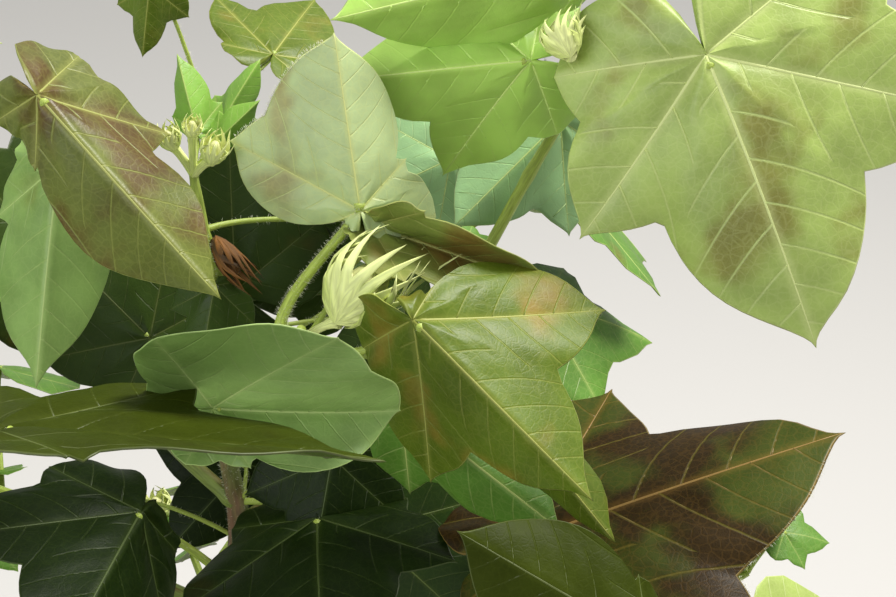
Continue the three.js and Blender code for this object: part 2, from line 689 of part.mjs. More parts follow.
// Pot, soil and main stem
const pot = potSolid();
const soil = soilSolid();
keep(pot);
keep(soil);
keep(stem);
addMesh('pot', pot, 0xa8623f);
addMesh('soil', soil, 0x3a2a1f);
addMesh('main_stem', stem, 0x6b6a34);

// Boughs first, so that every leaf can keep clear of them
const bough_starts = {};
for (const [name, plan] of Object.entries(laid_boughs)) {
  const start = stemPoint(plan.height);
  const bough = boughSolid(start, vec(plan.tip));
  bough_starts[name] = start;
  keep(bough);
  addMesh(`bough_${name}`, bough, 0x7f8f45);
}
for (const plan of grown_boughs) {
  const start = stemPoint(plan.height);
  const rise = radians(plan.rise);
  const compass = radians(plan.compass);
  const out = plan.length * Math.cos(rise);
  plan.start = start;
  plan.tip = start.clone().add(
    new THREE.Vector3(out * Math.cos(compass), out * Math.sin(compass), plan.length * Math.sin(rise)),
  );
  const bough = boughSolid(start, plan.tip);
  keep(bough);
  addMesh(`bough_${plan.name}`, bough, 0x7f8f45);
}

// Masses whose leaves are laid out one by one
function laidMass(name, twig, nodes) {
  let mass = twig;
  for (const plan of laid_leaves[name]) {
    const leaf = laidLeaf(plan, nodes[plan.node]);
    mass = mass.add(stalkSolid(leaf)).add(bladeSolid(leaf));
  }
  for (const plan of laid_squares[name] ?? []) {
    mass = mass.add(squareSolid(laidSquare(plan, nodes[plan.node])));
  }
  return mass;
}

const laid_masses = {};
for (const [name, plan] of Object.entries(laid_boughs)) {
  const nodes = plan.twig.map(vec);
  laid_masses[name] = laidMass(name, twigSolid(bough_starts[name], vec(plan.tip), nodes), nodes);
}
const stem_end = stemPoint(stem_top);
const stem_heading = stem_end.clone().sub(stemPoint(stem_top - stem_node_step / 2)).normalize();
const tip_nodes = [[-2, -4, 968], [-3, -6, 988]].map(vec);
const tip_points = [piece_gap, 5].map((step) => stem_end.clone().addScaledVector(stem_heading, step));
tip_points.push(...tip_nodes);
laid_masses.tip = laidMass('tip', limb(tip_points, [stem_top_radius, 2.2, 1.9, 1.5], twig_sides), tip_nodes);
for (const [name, mass] of Object.entries(laid_masses)) {
  keep(mass);
  addMesh(`mass_${name}`, mass, 0x6f8f3c);
}

// Single leaves of the main stem
for (const plan of stem_leaves) {
  const leaf = laidLeaf(plan, stemPoint(plan.from));
  const solid = stalkSolid(leaf).subtract(stem_with_gap).add(bladeSolid(leaf));
  keep(solid);
  addMesh(`leaf_${plan.name}`, solid, 0x4f7030);
}

// Twigs of the masses that follow the growing rule, before their leaves
grown_boughs.forEach((plan, order) => {
  plan.seed = 100 * (order + 1);
  plan.nodeList = grownTwig(plan.seed, plan.start, plan.tip, plan.nodes);
  plan.twig = twigSolid(plan.start, plan.tip, plan.nodeList.map((node) => node.spot));
  keep(plan.twig);
});

// Their leaves: one on either side of each twig node and one at the end, and a bud
function grownMass(plan) {
  const own = { limb: plan.twig, stalks: [], blades: [] };
  const parts = [plan.twig];
  const grow = (number, node, heading, size) => {
    const placed = placedLeaf(plan.seed + number, node.spot, heading, size, own);
    if (!placed) return;
    own.blades.push(boxed(placed[0]));
    own.stalks.push(boxed(placed[1]));
    parts.push(...placed);
  };
  plan.nodeList.forEach((node, i) => {
    const size = plan.size * (1 - leaf_size_drop * i);
    grow(10 + i, node, node.compass + node.side * outer_leaf_turn, size);
    grow(20 + i, node, node.compass - node.side * inner_leaf_turn, size * inner_leaf_share);
    if (i === plan.nodes - 1) grow(30 + i, node, node.compass, size * end_leaf_share);
  });
  const last = plan.nodeList[plan.nodes - 1];
  const square = squareSolid(grownSquare(last));
  const others = finished.filter((other) => other.solid !== plan.twig);
  if (!touches(square, [...others, ...own.blades])) parts.push(square);
  return wasm.Manifold.union(parts);
}

for (const plan of grown_boughs) {
  const mass = grownMass(plan);
  keep(mass);
  addMesh(`mass_${plan.name}`, mass, 0x557a34);
}

// Single grown leaves of the main stem
grown_stem_leaves.forEach((plan, order) => {
  const own = { limb: stem, stalks: [], blades: [] };
  const placed = placedLeaf(1500 + order, stemPoint(plan.from), plan.compass, plan.size, own);
  if (!placed) return;
  const leaf = placed[0].add(placed[1]);
  keep(leaf);
  addMesh(`leaf_${plan.name}`, leaf, 0x4f7030);
});

export default group;
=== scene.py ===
import math

import bmesh
import bpy
import numpy as np
from mathutils import Matrix, Vector, noise


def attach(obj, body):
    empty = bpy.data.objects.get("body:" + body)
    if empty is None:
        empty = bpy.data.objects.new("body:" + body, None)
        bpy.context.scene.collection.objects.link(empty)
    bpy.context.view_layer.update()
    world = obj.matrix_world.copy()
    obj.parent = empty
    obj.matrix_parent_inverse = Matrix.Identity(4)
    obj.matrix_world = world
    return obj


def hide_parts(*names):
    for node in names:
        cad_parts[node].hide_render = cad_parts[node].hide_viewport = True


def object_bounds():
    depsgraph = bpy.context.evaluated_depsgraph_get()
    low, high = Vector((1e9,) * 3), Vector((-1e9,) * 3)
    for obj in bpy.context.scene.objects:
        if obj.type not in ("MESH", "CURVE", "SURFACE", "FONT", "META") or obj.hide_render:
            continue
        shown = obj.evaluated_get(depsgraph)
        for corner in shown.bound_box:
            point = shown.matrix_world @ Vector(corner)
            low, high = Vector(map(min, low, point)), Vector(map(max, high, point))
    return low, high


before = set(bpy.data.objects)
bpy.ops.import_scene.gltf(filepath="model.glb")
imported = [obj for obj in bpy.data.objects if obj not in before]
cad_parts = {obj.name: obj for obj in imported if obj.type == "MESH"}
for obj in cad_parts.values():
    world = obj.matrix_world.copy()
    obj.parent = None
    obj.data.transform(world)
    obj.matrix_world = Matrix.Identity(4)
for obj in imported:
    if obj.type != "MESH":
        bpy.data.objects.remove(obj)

solid_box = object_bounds()


# Camera: at standing eye height, turned down to the upper leaves, thirty degrees below the
# horizon, with a short telephoto lens. It is aimed at the same point of the crown that the upper
# front leaves are laid out around.
sight_centre = Vector((0.074, -0.025, 0.956))
sight_elevation = 30
sight_distance = 0.527

sight_turn = Matrix.Rotation(math.radians(90 - sight_elevation), 3, "X")
camera = bpy.data.objects.new("camera", bpy.data.cameras.new("camera"))
camera.data.lens = 70
camera.data.sensor_width = 36
camera.data.clip_start = 0.02
camera.location = sight_centre + sight_turn @ Vector((0, 0, sight_distance))
camera.rotation_euler = (math.radians(90 - sight_elevation), 0, 0)
bpy.context.scene.collection.objects.link(camera)
bpy.context.scene.camera = camera
bpy.context.scene.view_settings.view_transform = "Standard"


# Floor: a plain pale studio floor under the pot, one round painted board. It is a stage for the
# plant and no part of it.
def material_with(name, **values):
    """A material, its tree and its shader, with plain values on the shader's own sockets."""
    material = bpy.data.materials.new(name)
    material.use_nodes = True
    shader = material.node_tree.nodes["Principled BSDF"]
    for socket, value in values.items():
        shader.inputs[socket.replace("_", " ")].default_value = value
    return material, material.node_tree, shader


def add_piece(name, bm, material):
    mesh = bpy.data.meshes.new(name)
    bm.to_mesh(mesh)
    bm.free()
    piece = bpy.data.objects.new(name, mesh)
    bpy.context.scene.collection.objects.link(piece)
    mesh.materials.append(material)
    mesh.shade_smooth()
    return piece


floor_paint, _, _ = material_with("floor_paint", Base_Color=(0.72, 0.71, 0.69, 1), Roughness=0.8)
bm = bmesh.new()
bmesh.ops.create_circle(bm, cap_ends=True, radius=9, segments=64)
floor = add_piece("floor", bm, floor_paint)


# Pot: thrown terracotta with a rim band, four drain holes, and a little lime where water dries.
# The wall is one turned profile, and the floor is a plate with the holes left open.
pot_height = 0.238
pot_top_radius = 0.142
pot_foot_radius = 0.100
pot_wall = 0.009
pot_floor = 0.012
rim_height = 0.036
rim_step = 0.007
drain_radius = 0.006
drain_ring_radius = 0.058
drain_count = 4
foot_rim_radius, floor_rim_radius = 0.8 * pot_foot_radius, 0.75 * pot_foot_radius
pot_unevenness, wheel_mark_depth, plain_band = 0.0022, 0.00018, 0.006
pot_steps = 128


def outer_radius(z):
    return pot_foot_radius + (pot_top_radius - rim_step - pot_foot_radius) * z / pot_height


def inner_radius(z):
    return outer_radius(z) - pot_wall


def rounded(profile, cuts=5):
    """Rounds each inner corner of a profile by its own radius: (radius, height, rounding)."""
    points = []
    for i, (x, z, rounding) in enumerate(profile):
        corner = Vector((x, z))
        if rounding == 0:
            points.append(corner)
            continue
        before = (Vector(profile[i - 1][:2]) - corner).normalized() * rounding + corner
        after = (Vector(profile[i + 1][:2]) - corner).normalized() * rounding + corner
        for k in range(cuts + 1):
            t = k / cuts
            points.append(before * (1 - t) ** 2 + corner * 2 * t * (1 - t) + after * t ** 2)
    return points


def turned(bm, points, steps):
    """Turns an open profile of (radius, height) points about the upright axis."""
    verts = [bm.verts.new((p.x, 0, p.y)) for p in points]
    edges = [bm.edges.new(pair) for pair in zip(verts, verts[1:])]
    bmesh.ops.spin(bm, geom=verts + edges, cent=(0, 0, 0), axis=(0, 0, 1),
                   angle=2 * math.pi, steps=steps, use_merge=True)
    bmesh.ops.remove_doubles(bm, verts=bm.verts, dist=1e-6)


rim_foot = pot_height - rim_height
bm = bmesh.new()
turned(bm, rounded([
    (foot_rim_radius, 0, 0), (pot_foot_radius, 0, 0.004), (outer_radius(rim_foot), rim_foot, 0.002),
    (outer_radius(rim_foot) + rim_step, rim_foot + 0.002, 0.0018), (pot_top_radius, pot_height, 0.004),
    (inner_radius(pot_height), pot_height, 0.004), (inner_radius(pot_floor), pot_floor, 0.007),
    (floor_rim_radius, pot_floor, 0),
]), pot_steps)
floor_levels = []
for z in (0, pot_floor):
    rim = [e for e in bm.edges if e.is_boundary and all(abs(v.co.z - z) < 1e-6 for v in e.verts)]
    holes = []
    for i in range(drain_count):
        way = math.radians(45 + 360 * i / drain_count)
        spot = Matrix.Translation((drain_ring_radius * math.cos(way), drain_ring_radius * math.sin(way), z))
        hole = bmesh.ops.create_circle(bm, radius=drain_radius, segments=20, matrix=spot)["verts"]
        holes.append([e for e in bm.edges if all(v in hole for v in e.verts)])
    bmesh.ops.triangle_fill(bm, edges=rim + sum(holes, []), use_beauty=True)
    floor_levels.append(holes)
for low, high in zip(*floor_levels):
    bmesh.ops.bridge_loops(bm, edges=low + high)
bmesh.ops.recalc_face_normals(bm, faces=bm.faces)
for v in bm.verts:
    spread = 1 + pot_unevenness * noise.noise(v.co * 9)
    mark = wheel_mark_depth * math.sin(v.co.z * 900 + 2 * noise.noise(v.co * 12))
    away = Vector((v.co.x, v.co.y, 0))
    if away.length > pot_foot_radius and plain_band < v.co.z < pot_height - plain_band:
        v.co.xy = (away * spread + away.normalized() * mark).xy


def add_node(tree, kind, inputs=None, **settings):
    """A shader node with its settings, and with numbers, colours or other nodes' outputs in its sockets."""
    node = tree.nodes.new("ShaderNode" + kind)
    for name, value in settings.items():
        setattr(node, name, value)
    for socket, value in (inputs or {}).items():
        if isinstance(value, bpy.types.NodeSocket):
            tree.links.new(value, node.inputs[socket])
        else:
            node.inputs[socket].default_value = value
    return node


def add_noise(tree, vector, scale, detail, stretch=None):
    """Noise on a vector, stretched by a Mapping node where asked."""
    if stretch:
        vector = add_node(tree, "Mapping", {"Vector": vector, "Scale": stretch}).outputs["Vector"]
    return add_node(tree, "TexNoise", {"Vector": vector, "Scale": scale, "Detail": detail}).outputs["Fac"]


def add_relief(tree, shader, height, strength, depth):
    bump = add_node(tree, "Bump", {"Height": height, "Strength": strength, "Distance": depth})
    tree.links.new(bump.outputs["Normal"], shader.inputs["Normal"])


def earth_material(name, rough, clouds, grains, shades, relief):
    """Clay or soil: clouds of its shades, and grains that stand up; a noise is its scale and detail."""
    material, tree, shader = material_with(name, Roughness=rough)
    place = add_node(tree, "TexCoord").outputs["Object"]
    cloud, grain = (add_noise(tree, place, scale, detail) for scale, detail in (clouds, grains))
    ramp = add_node(tree, "ValToRGB", {"Fac": cloud})
    stops = ramp.color_ramp.elements
    for number, (position, shade) in enumerate(shades):
        stop = stops[number] if number < 2 else stops.new(position)
        stop.position, stop.color = position, shade + (1,)
    tree.links.new(ramp.outputs["Color"], shader.inputs["Base Color"])
    add_relief(tree, shader, grain, *relief)
    return material


clay_shades = [(0.3, (0.36, 0.125, 0.06)), (0.72, (0.5, 0.215, 0.12)), (0.9, (0.62, 0.46, 0.36))]
clay = earth_material("fired_clay", 0.82, (14, 6), (900, 2), clay_shades, (0.25, 0.0006))
pot = add_piece("clay_pot", bm, clay)
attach(pot, "root")
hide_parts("pot")


# Soil: moist potting soil that fills the pot to 26 mm below its rim, crumbly on top and a little
# heaped at the stem, with loose crumbs lying on it.
soil_level = 0.212
crumb_count = 1400
crumb_sizes = (0.0012, 0.0042)
heap_height, heap_radius = 0.0035, 0.03
soil_wall_gap, soil_floor_gap = 0.0004, 0.0003
soil_ring_start, soil_ring_step, soil_edge = 0.004, 0.0023, 0.003
soil_lumps, lump_drop = ((0.0016, 55), (0.0011, 160)), 0.0012  # lumps: height and fineness


def soil_heap(out):
    return heap_height * math.exp(-(out / heap_radius) ** 2)


bm = bmesh.new()
rings = [soil_ring_start + soil_ring_step * i for i in range(50)]
wall = [(inner_radius(z) - soil_wall_gap, z) for z in (soil_level - soil_edge, 0.1, pot_floor + 0.006)]
profile = [(0, soil_level)] + [(r, soil_level) for r in rings if r < inner_radius(soil_level) - soil_edge]
profile += [(inner_radius(soil_level) - 0.0012, soil_level - 0.001)] + wall
soil_foot = pot_floor + soil_floor_gap
profile += [(inner_radius(pot_floor) - 0.0065, soil_foot), (0, soil_foot)]
turned(bm, [Vector(p) for p in profile], 120)
for v in bm.verts:
    flat = Vector((v.co.x, v.co.y))
    if v.co.z > soil_level - 0.002 and flat.length < inner_radius(soil_level) - 0.002:
        lumps = sum(height * noise.noise(v.co * fineness) for height, fineness in soil_lumps)
        v.co.z += lumps + soil_heap(flat.length) - lump_drop
bmesh.ops.recalc_face_normals(bm, faces=bm.faces)

soil_shades = [(0.35, (0.014, 0.009, 0.006)), (0.7, (0.075, 0.047, 0.029))]
soil_skin = earth_material("moist_soil", 0.9, (260, 8), (260, 8), soil_shades, (0.9, 0.0015))
soil = add_piece("potting_soil", bm, soil_skin)
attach(soil, "root")
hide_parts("soil")


def seeded_numbers(seed):
    """Numbers from low to high that are the same on every run."""
    state = (seed * 7919 + 104729) % 2147483647

    def pick(low, high):
        nonlocal state
        state = (state * 48271) % 2147483647
        return low + (high - low) * state / 2147483647

    for _ in range(4):
        pick(0, 1)
    return pick


def joined_mesh(name, parts, materials):
    """One mesh from parts, each with vertices, faces, maps and material numbers; a corner of -1 is none."""
    parts = [part for part in parts if len(part["faces"])]
    shifts = np.cumsum([0] + [len(part["verts"]) for part in parts[:-1]])
    corners = np.concatenate([
        part["faces"] + shift * (part["faces"] >= 0) for part, shift in zip(parts, shifts)
    ])
    real = corners >= 0
    counts = real.sum(1)
    used, corners[real] = np.unique(corners[real], return_inverse=True)
    verts = np.concatenate([part["verts"] for part in parts])[used]
    skins, skin = np.unique(np.concatenate([part["skin"] for part in parts]), return_inverse=True)
    mesh = bpy.data.meshes.new(name)
    mesh.vertices.add(len(verts))
    mesh.vertices.foreach_set("co", verts.astype(np.float32).ravel())
    mesh.loops.add(int(counts.sum()))
    mesh.loops.foreach_set("vertex_index", corners[real].astype(np.int32))
    mesh.polygons.add(len(corners))
    mesh.polygons.foreach_set("loop_start", np.concatenate([[0], np.cumsum(counts)[:-1]]).astype(np.int32))
    mesh.polygons.foreach_set("material_index", skin.astype(np.int32))
    for layer in ("flat", "veins"):
        spots = np.concatenate([
            part[layer] if layer in part else np.zeros(part["faces"].shape + (2,)) for part in parts
        ])
        mesh.uv_layers.new(name=layer).data.foreach_set("uv", spots[real].astype(np.float32).ravel())
    for number in skins:
        mesh.materials.append(materials[int(number)])
    mesh.update(calc_edges=True)
    mesh.validate()
    mesh.shade_smooth()
    piece = bpy.data.objects.new(name, mesh)
    bpy.context.scene.collection.objects.link(piece)
    return piece


bm = bmesh.new()
bmesh.ops.create_icosphere(bm, subdivisions=1, radius=1)
ball = np.array([v.co[:] for v in bm.verts])
ball_faces = np.array([[v.index for v in f.verts] + [-1] for f in bm.faces])
bm.free()
pick = seeded_numbers(41)
crumbs = []
for _ in range(crumb_count):
    way, out = pick(0, 2 * math.pi), (inner_radius(soil_level) - 0.008) * math.sqrt(pick(0.02, 1))
    size = crumb_sizes[0] + (crumb_sizes[1] - crumb_sizes[0]) * pick(0, 1) ** 3
    shape = ball * [pick(0.7, 1.3), pick(0.7, 1.3), pick(0.5, 0.9)] * size
    shape = shape * (1 + 0.25 * np.sin(ball * 9 + pick(0, 6)))
    spot = [out * math.cos(way), out * math.sin(way), soil_level - 0.0006 + soil_heap(out) + size * 0.25]
    crumbs.append({"verts": shape + spot, "faces": ball_faces, "skin": np.zeros(len(ball_faces))})
loose_soil = joined_mesh("soil_crumbs", crumbs, [soil_skin])
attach(loose_soil, "root")
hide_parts("soil")


# Main stem: one upright woody stem, brown and finely cracked low down and green with short hairs
# at the top. It swells at each node, where a leaf or a bough grew, and flares into the soil.
stem_foot_radius = 0.0072
stem_flare_radius = 0.012
stem_flare_height = 0.024
stem_top_radius = 0.0028
stem_top = 0.948
stem_zigzag = 0.0022
stem_node_step = 0.046
stem_sides = 20
node_swelling, node_swelling_reach = 0.16, 0.004


def stem_point(z):
    node = (z - soil_level) / stem_node_step + 1e-9
    lower = math.floor(node)
    part = min(max(node - lower, 0), 1)

    def shift(i):
        return 0 if i <= 1 else stem_zigzag * (1 if i % 2 == 0 else -1)

    x = shift(lower) + (shift(lower + 1) - shift(lower)) * part
    y = (shift(lower - 1) + (shift(lower) - shift(lower - 1)) * part) * 0.6
    return Vector((x, y, z))


def stem_radius(z):
    share = (z - soil_level) / (stem_top - soil_level)
    plain = stem_foot_radius + (stem_top_radius - stem_foot_radius) * max(share, 0) ** 0.85
    low = min(max(1 - (z - soil_level) / stem_flare_height, 0), 1)
    return plain + (stem_flare_radius - stem_foot_radius) * low ** 2


def grow_limb(bm, points, radii, sides, bark):
    """Rings along a path, bridged one to the next, closed at both ends, with ridges in the bark."""
    layer = bm.loops.layers.uv.get("flat") or bm.loops.layers.uv.new("flat")
    start = points[1] - points[0]
    upright = abs(start.z) > 0.9 * start.length
    side = start.cross(Vector((1, 0, 0)) if upright else Vector((0, 0, 1))).normalized()
    rings, along, spots = [], 0, {}
    for i, (point, radius) in enumerate(zip(points, radii)):
        tangent = (points[min(i + 1, len(points) - 1)] - points[max(i - 1, 0)]).normalized()
        side = (side - tangent * side.dot(tangent)).normalized()
        place = Matrix((side, tangent.cross(side), tangent)).transposed().to_4x4()
        place.translation = point
        closed = i in (0, len(points) - 1)
        ring = bmesh.ops.create_circle(
            bm, cap_ends=closed, segments=sides, radius=radius, matrix=place)["verts"]
        along += (point - points[max(i - 1, 0)]).length
        for k, vert in enumerate(ring):
            turn = 2 * math.pi * k / sides
            ridge = noise.noise(Vector((2.2 * math.cos(turn), 2.2 * math.sin(turn), along * 55)))
            vert.co += (vert.co - point) * bark * ridge
            spots[vert] = (k / sides, along)
        rings.append(ring)
    for low, high in zip(rings, rings[1:]):
        edges = [bm.edges.get((ring[k - 1], ring[k])) for ring in (low, high) for k in range(sides)]
        for face in bmesh.ops.bridge_loops(bm, edges=edges)["faces"]:
            turns = [spots[loop.vert][0] for loop in face.loops]
            for loop, turn in zip(face.loops, turns):
                wrapped = turn + 1 if max(turns) - turn > 0.5 else turn
                loop[layer].uv = (wrapped, spots[loop.vert][1])


def stem_swelling(z):
    near = abs((z - soil_level) / stem_node_step - round((z - soil_level) / stem_node_step))
    return 1 + node_swelling * math.exp(-(near * stem_node_step / node_swelling_reach) ** 2)


bm = bmesh.new()
heights = np.concatenate([
    np.linspace(soil_level - 0.004, soil_level + 0.03, 12), np.arange(soil_level + 0.036, stem_top, 0.0052),
])
path = [stem_point(z) for z in heights] + [stem_point(stem_top)]
radii = [stem_radius(z) * stem_swelling(z) for z in heights] + [stem_radius(stem_top)]
grow_limb(bm, path, radii, stem_sides, 0.07)
bmesh.ops.recalc_face_normals(bm, faces=bm.faces)


def shade_group(name, inputs, outputs):
    """A node group with its named sockets: its tree, what it is given and what it puts out."""
    group = bpy.data.node_groups.new(name, "ShaderNodeTree")
    for way, sockets in (("INPUT", inputs), ("OUTPUT", outputs)):
        for socket, kind in sockets.items():
            group.interface.new_socket(socket, in_out=way, socket_type="NodeSocket" + kind)
    return group, group.nodes.new("NodeGroupInput").outputs, group.nodes.new("NodeGroupOutput").inputs


def add_math(tree, operation, *values):
    return add_node(tree, "Math", dict(enumerate(values)), operation=operation).outputs[0]


def add_ramp(tree, value, low, high, start=0.0, end=1.0):
    """value from low..high eased to start..end."""
    inputs = {"Value": value, "From Min": low, "From Max": high, "To Min": start, "To Max": end}
    return add_node(tree, "MapRange", inputs, interpolation_type="SMOOTHSTEP").outputs["Result"]


def add_mix(tree, factor, first, second, blend="MIX"):
    inputs = {"Factor": factor, 6: first, 7: second}
    return add_node(tree, "Mix", inputs, data_type="RGBA", blend_type=blend).outputs[2]


def add_shading(tree, skin, value, darkest, lightest):
    """Darkens and lightens a colour by a noise."""
    grey = add_ramp(tree, value, 0.3, 0.7, darkest, lightest)
    grey = add_node(tree, "CombineColor", {0: grey, 1: grey, 2: grey}).outputs["Color"]
    return add_mix(tree, 1.0, skin, grey, "MULTIPLY")


def colour(red, green, blue):
    """A colour as the eye sees it, 0 to 255, made linear for a shader."""
    shares = [c / 255 for c in (red, green, blue)]
    return tuple(c / 12.92 if c < 0.04 else ((c + 0.055) / 1.055) ** 2.4 for c in shares) + (1,)


# Streaks of a stem's skin: fine lengthwise fibres and broad patches of a second colour
streaks, given, made = shade_group(
    "stem_streaks", {"Around Along": "Vector", "Skin": "Color", "Patch": "Color", "Patch Share": "Float"},
    {"Color": "Color", "Height": "Float"})
fibre = add_noise(streaks, given["Around Along"], 1, 4, (26, 160, 1))
patch = add_noise(streaks, given["Around Along"], 1, 3, (3, 24, 1))
middle = add_math(streaks, "SUBTRACT", 0.95, given["Patch Share"])
low, high = (add_math(streaks, operation, middle, 0.12) for operation in ("SUBTRACT", "ADD"))
skin = add_mix(streaks, add_ramp(streaks, patch, low, high), given["Skin"], given["Patch"])
streaks.links.new(add_shading(streaks, skin, fibre, 0.72, 1.12), made["Color"])
streaks.links.new(fibre, made["Height"])


def stem_material(name, skin, patch, share, rough, relief, old_skin=None):
    """Stem skin; with old_skin it turns into that bark lower down the main stem."""
    material, tree, shader = material_with(name, Roughness=rough)
    uv = add_node(tree, "UVMap", uv_map="flat").outputs["UV"]
    inputs = {"Around Along": uv, "Skin": skin, "Patch": patch, "Patch Share": share}
    node = add_node(tree, "Group", inputs, node_tree=streaks)
    result = node.outputs["Color"]
    if old_skin:
        place = add_node(tree, "TexCoord").outputs["Object"]
        height = add_node(tree, "SeparateXYZ", {"Vector": place}).outputs["Z"]
        cracks = add_noise(tree, uv, 1, 5, (14, 90, 1))
        bark = add_mix(tree, cracks, old_skin, tuple(1.9 * c for c in old_skin[:3]) + (1,))
        edge = add_math(tree, "MULTIPLY_ADD", cracks, 0.12, height)
        result = add_mix(tree, add_ramp(tree, edge, 0.5, 0.78, 1.0, 0.0), result, bark)
    add_relief(tree, shader, node.outputs["Height"], relief, 0.0004)
    tree.links.new(result, shader.inputs["Base Color"])
    return material


stem_skin = stem_material(
    "main_stem_skin", colour(112, 122, 62), colour(124, 92, 66), 0.4, 0.55, 0.6, old_skin=colour(84, 66, 44))
stem = add_piece("main_stem", bm, stem_skin)
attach(stem, "root")
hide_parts("main_stem")


# Boughs: green side limbs that grow from the nodes of the main stem, rise outward and thin a
# little toward their tips, with a collar where each joins the stem.
bough_root_radius = 0.0036
bough_root_share = 0.84
bough_taper = 0.8
bough_bend_share, bough_sag, bough_bow = 0.45, 0.06, 0.05
bough_sides, bough_steps = 14, 18
laid_boughs = {  # height on the stem, tip, and the nodes of its twig
    "centre": (884, (19, -25, 922), [(26, -36, 944), (31, -43, 956)]),
    "front": (772, (-30, -98, 838), [(-38, -124, 878), (-46, -136, 930)]),
    "right": (850, (82, 34, 932), [(101, 42, 965), (117, 44, 995), (128, 38, 1020)]),
    "low_right": (790, (72, -42, 834), [(87, -61, 850), (86, -97, 864)]),
    "back": (828, (-6, 76, 905), [(-9, 96, 932), (-14, 106, 958)]),
}
grown_boughs = {  # height on the stem, compass, rise, length, how many twig nodes, leaf size
    "a": (300, 352, 50, 150, 4, 88), "b": (345, 150, 48, 150, 4, 90), "c": (395, 268, 36, 112, 3, 96),
    "d": (440, 48, 34, 112, 3, 98), "e": (490, 190, 34, 108, 3, 98), "f": (540, 318, 34, 104, 3, 96),
    "g": (585, 100, 35, 100, 3, 94), "h": (630, 232, 36, 98, 3, 92), "i": (675, 8, 38, 96, 3, 90),
    "j": (718, 145, 40, 92, 3, 84), "k": (758, 58, 42, 88, 3, 80), "l": (810, 196, 44, 84, 3, 76),
    "m": (862, 158, 42, 62, 3, 62),
}


def from_mm(point):
    return Vector(point) * 0.001


def compass_way(compass, rise):
    flat = math.cos(math.radians(rise))
    way = math.radians(compass)
    return Vector((flat * math.cos(way), flat * math.sin(way), math.sin(math.radians(rise))))


def bough_points(start, tip, count):
    length = (tip - start).length
    flat = Vector((tip.x - start.x, tip.y - start.y, 0)).normalized()
    bend = start.lerp(tip, bough_bend_share) + Vector((0, 0, -bough_sag * length)) + flat * bough_bow * length
    shares = [i / count for i in range(count + 1)]
    return [start * (1 - t) ** 2 + bend * 2 * t * (1 - t) + tip * t ** 2 for t in shares]


def bough_radius(start):
    return min(bough_root_radius, bough_root_share * stem_radius(start.z))


bough_ends = {}
for name, (height, tip, _) in laid_boughs.items():
    bough_ends[name] = (stem_point(height * 0.001), from_mm(tip))
for name, (height, compass, rise, length, _, _) in grown_boughs.items():
    start = stem_point(height * 0.001)
    bough_ends[name] = (start, start + compass_way(compass, rise) * length * 0.001)

bm = bmesh.new()
shares = np.linspace(0, 1, bough_steps + 1)
collar = 0.35 * np.exp(-((shares - 0.03) / 0.05) ** 2)
for start, tip in bough_ends.values():
    radii = bough_radius(start) * (1 - (1 - bough_taper) * shares + collar)
    grow_limb(bm, bough_points(start, tip, bough_steps), list(radii), bough_sides, 0.05)
bmesh.ops.recalc_face_normals(bm, faces=bm.faces)
bough_skin = stem_material("bough_skin", colour(128, 146, 66), colour(132, 92, 62), 0.36, 0.5, 0.5)
boughs = add_piece("boughs", bm, bough_skin)
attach(boughs, "root")
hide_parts(*["bough_" + name for name in bough_ends])


# Leaves: thin lobed blades with five main veins that meet at the stalk, side veins that stand out
# on the underside, and skin that puffs up between them. Each blade is one closed thin shell.
lobe_angles = np.array([-108, -56, 0, 56, 108])
lobe_narrow_drop = [0.06, 0.237, 0.237, 0.237, 0.06]
lobe_wide_drop = [0.10, 0.14, 0.12, 0.14, 0.10]
plain_lobes, short_lobes = [0.66, 0.88, 0.88, 0.66], (0.5, 0.8, 0.8, 0.5)
lobe_borders = np.array([-82, -28, 28, 82])
blade_half_share = 0.0034
side_vein_step, side_vein_crowding = 0.19, 0.87
side_vein_lean, side_vein_arch = 0.55, 0.85
vein_thickness, vein_tip, side_vein_thickness, side_vein_tip = 0.0085, 0.0016, 0.0032, 0.0007
puff_height, vein_sink, wave_height, ripple_height, side_puff_height = 0.016, 0.006, 0.022, 0.010, 0.0045
margin_start, stalk_cut_width = 0.985, 14
near, medium, far = (  # how finely a leaf is made, with the columns beside a lobe's tip in degrees
    {"columns": 112, "rows": 40, "veins": 16, "side_veins": 7, "sides": 6,
     "tips": (-4, -1.6, -0.5, 0, 0.5, 1.6, 4)},
    {"columns": 56, "rows": 15, "veins": 12, "side_veins": 4, "sides": 6, "tips": (-4, -1, 0, 1, 4)},
    {"columns": 30, "rows": 8, "veins": 7, "side_veins": 0, "sides": 4, "tips": (-3, 0, 3)},
)


def edge_share(angle, lobes):
    """Reach of the outline from the stalk's end, as a share of the midrib.

    The first four lobes are shares of the midrib from left to right; a fifth entry makes the two cuts at
    the left shallower.
    """
    reach = np.full(np.shape(angle), 0.12)
    shares = [lobes[0], lobes[1], 1, lobes[2], lobes[3]]
    inner, outer = lobes[4] if len(lobes) == 5 else (1, 1)
    depth = np.where(np.asarray(angle) < lobe_angles[1], outer, np.where(np.asarray(angle) < 0, inner, 1))
    for share, lobe, narrow, wide in zip(shares, lobe_angles, lobe_narrow_drop, lobe_wide_drop):
        apart = np.abs(angle - lobe)
        apart = np.minimum(apart, 360 - apart) / 30
        reach = np.maximum(reach, share * (1 - depth * (narrow * apart ** 0.55 + wide * apart ** 2.2)))
    opened = np.clip((180 - np.abs(angle)) / stalk_cut_width, 0, 1)
    return reach * (0.06 + 0.94 * opened ** 2 * (3 - 2 * opened))


def blade_spot(leaf, angle, share):
    """Place in the flat leaf at an angle from the midrib, a share of the way to the outline."""
    reach = edge_share(angle, leaf["lobes"]) * leaf["size"] * share
    return reach * np.sin(np.radians(angle)), reach * np.cos(np.radians(angle))


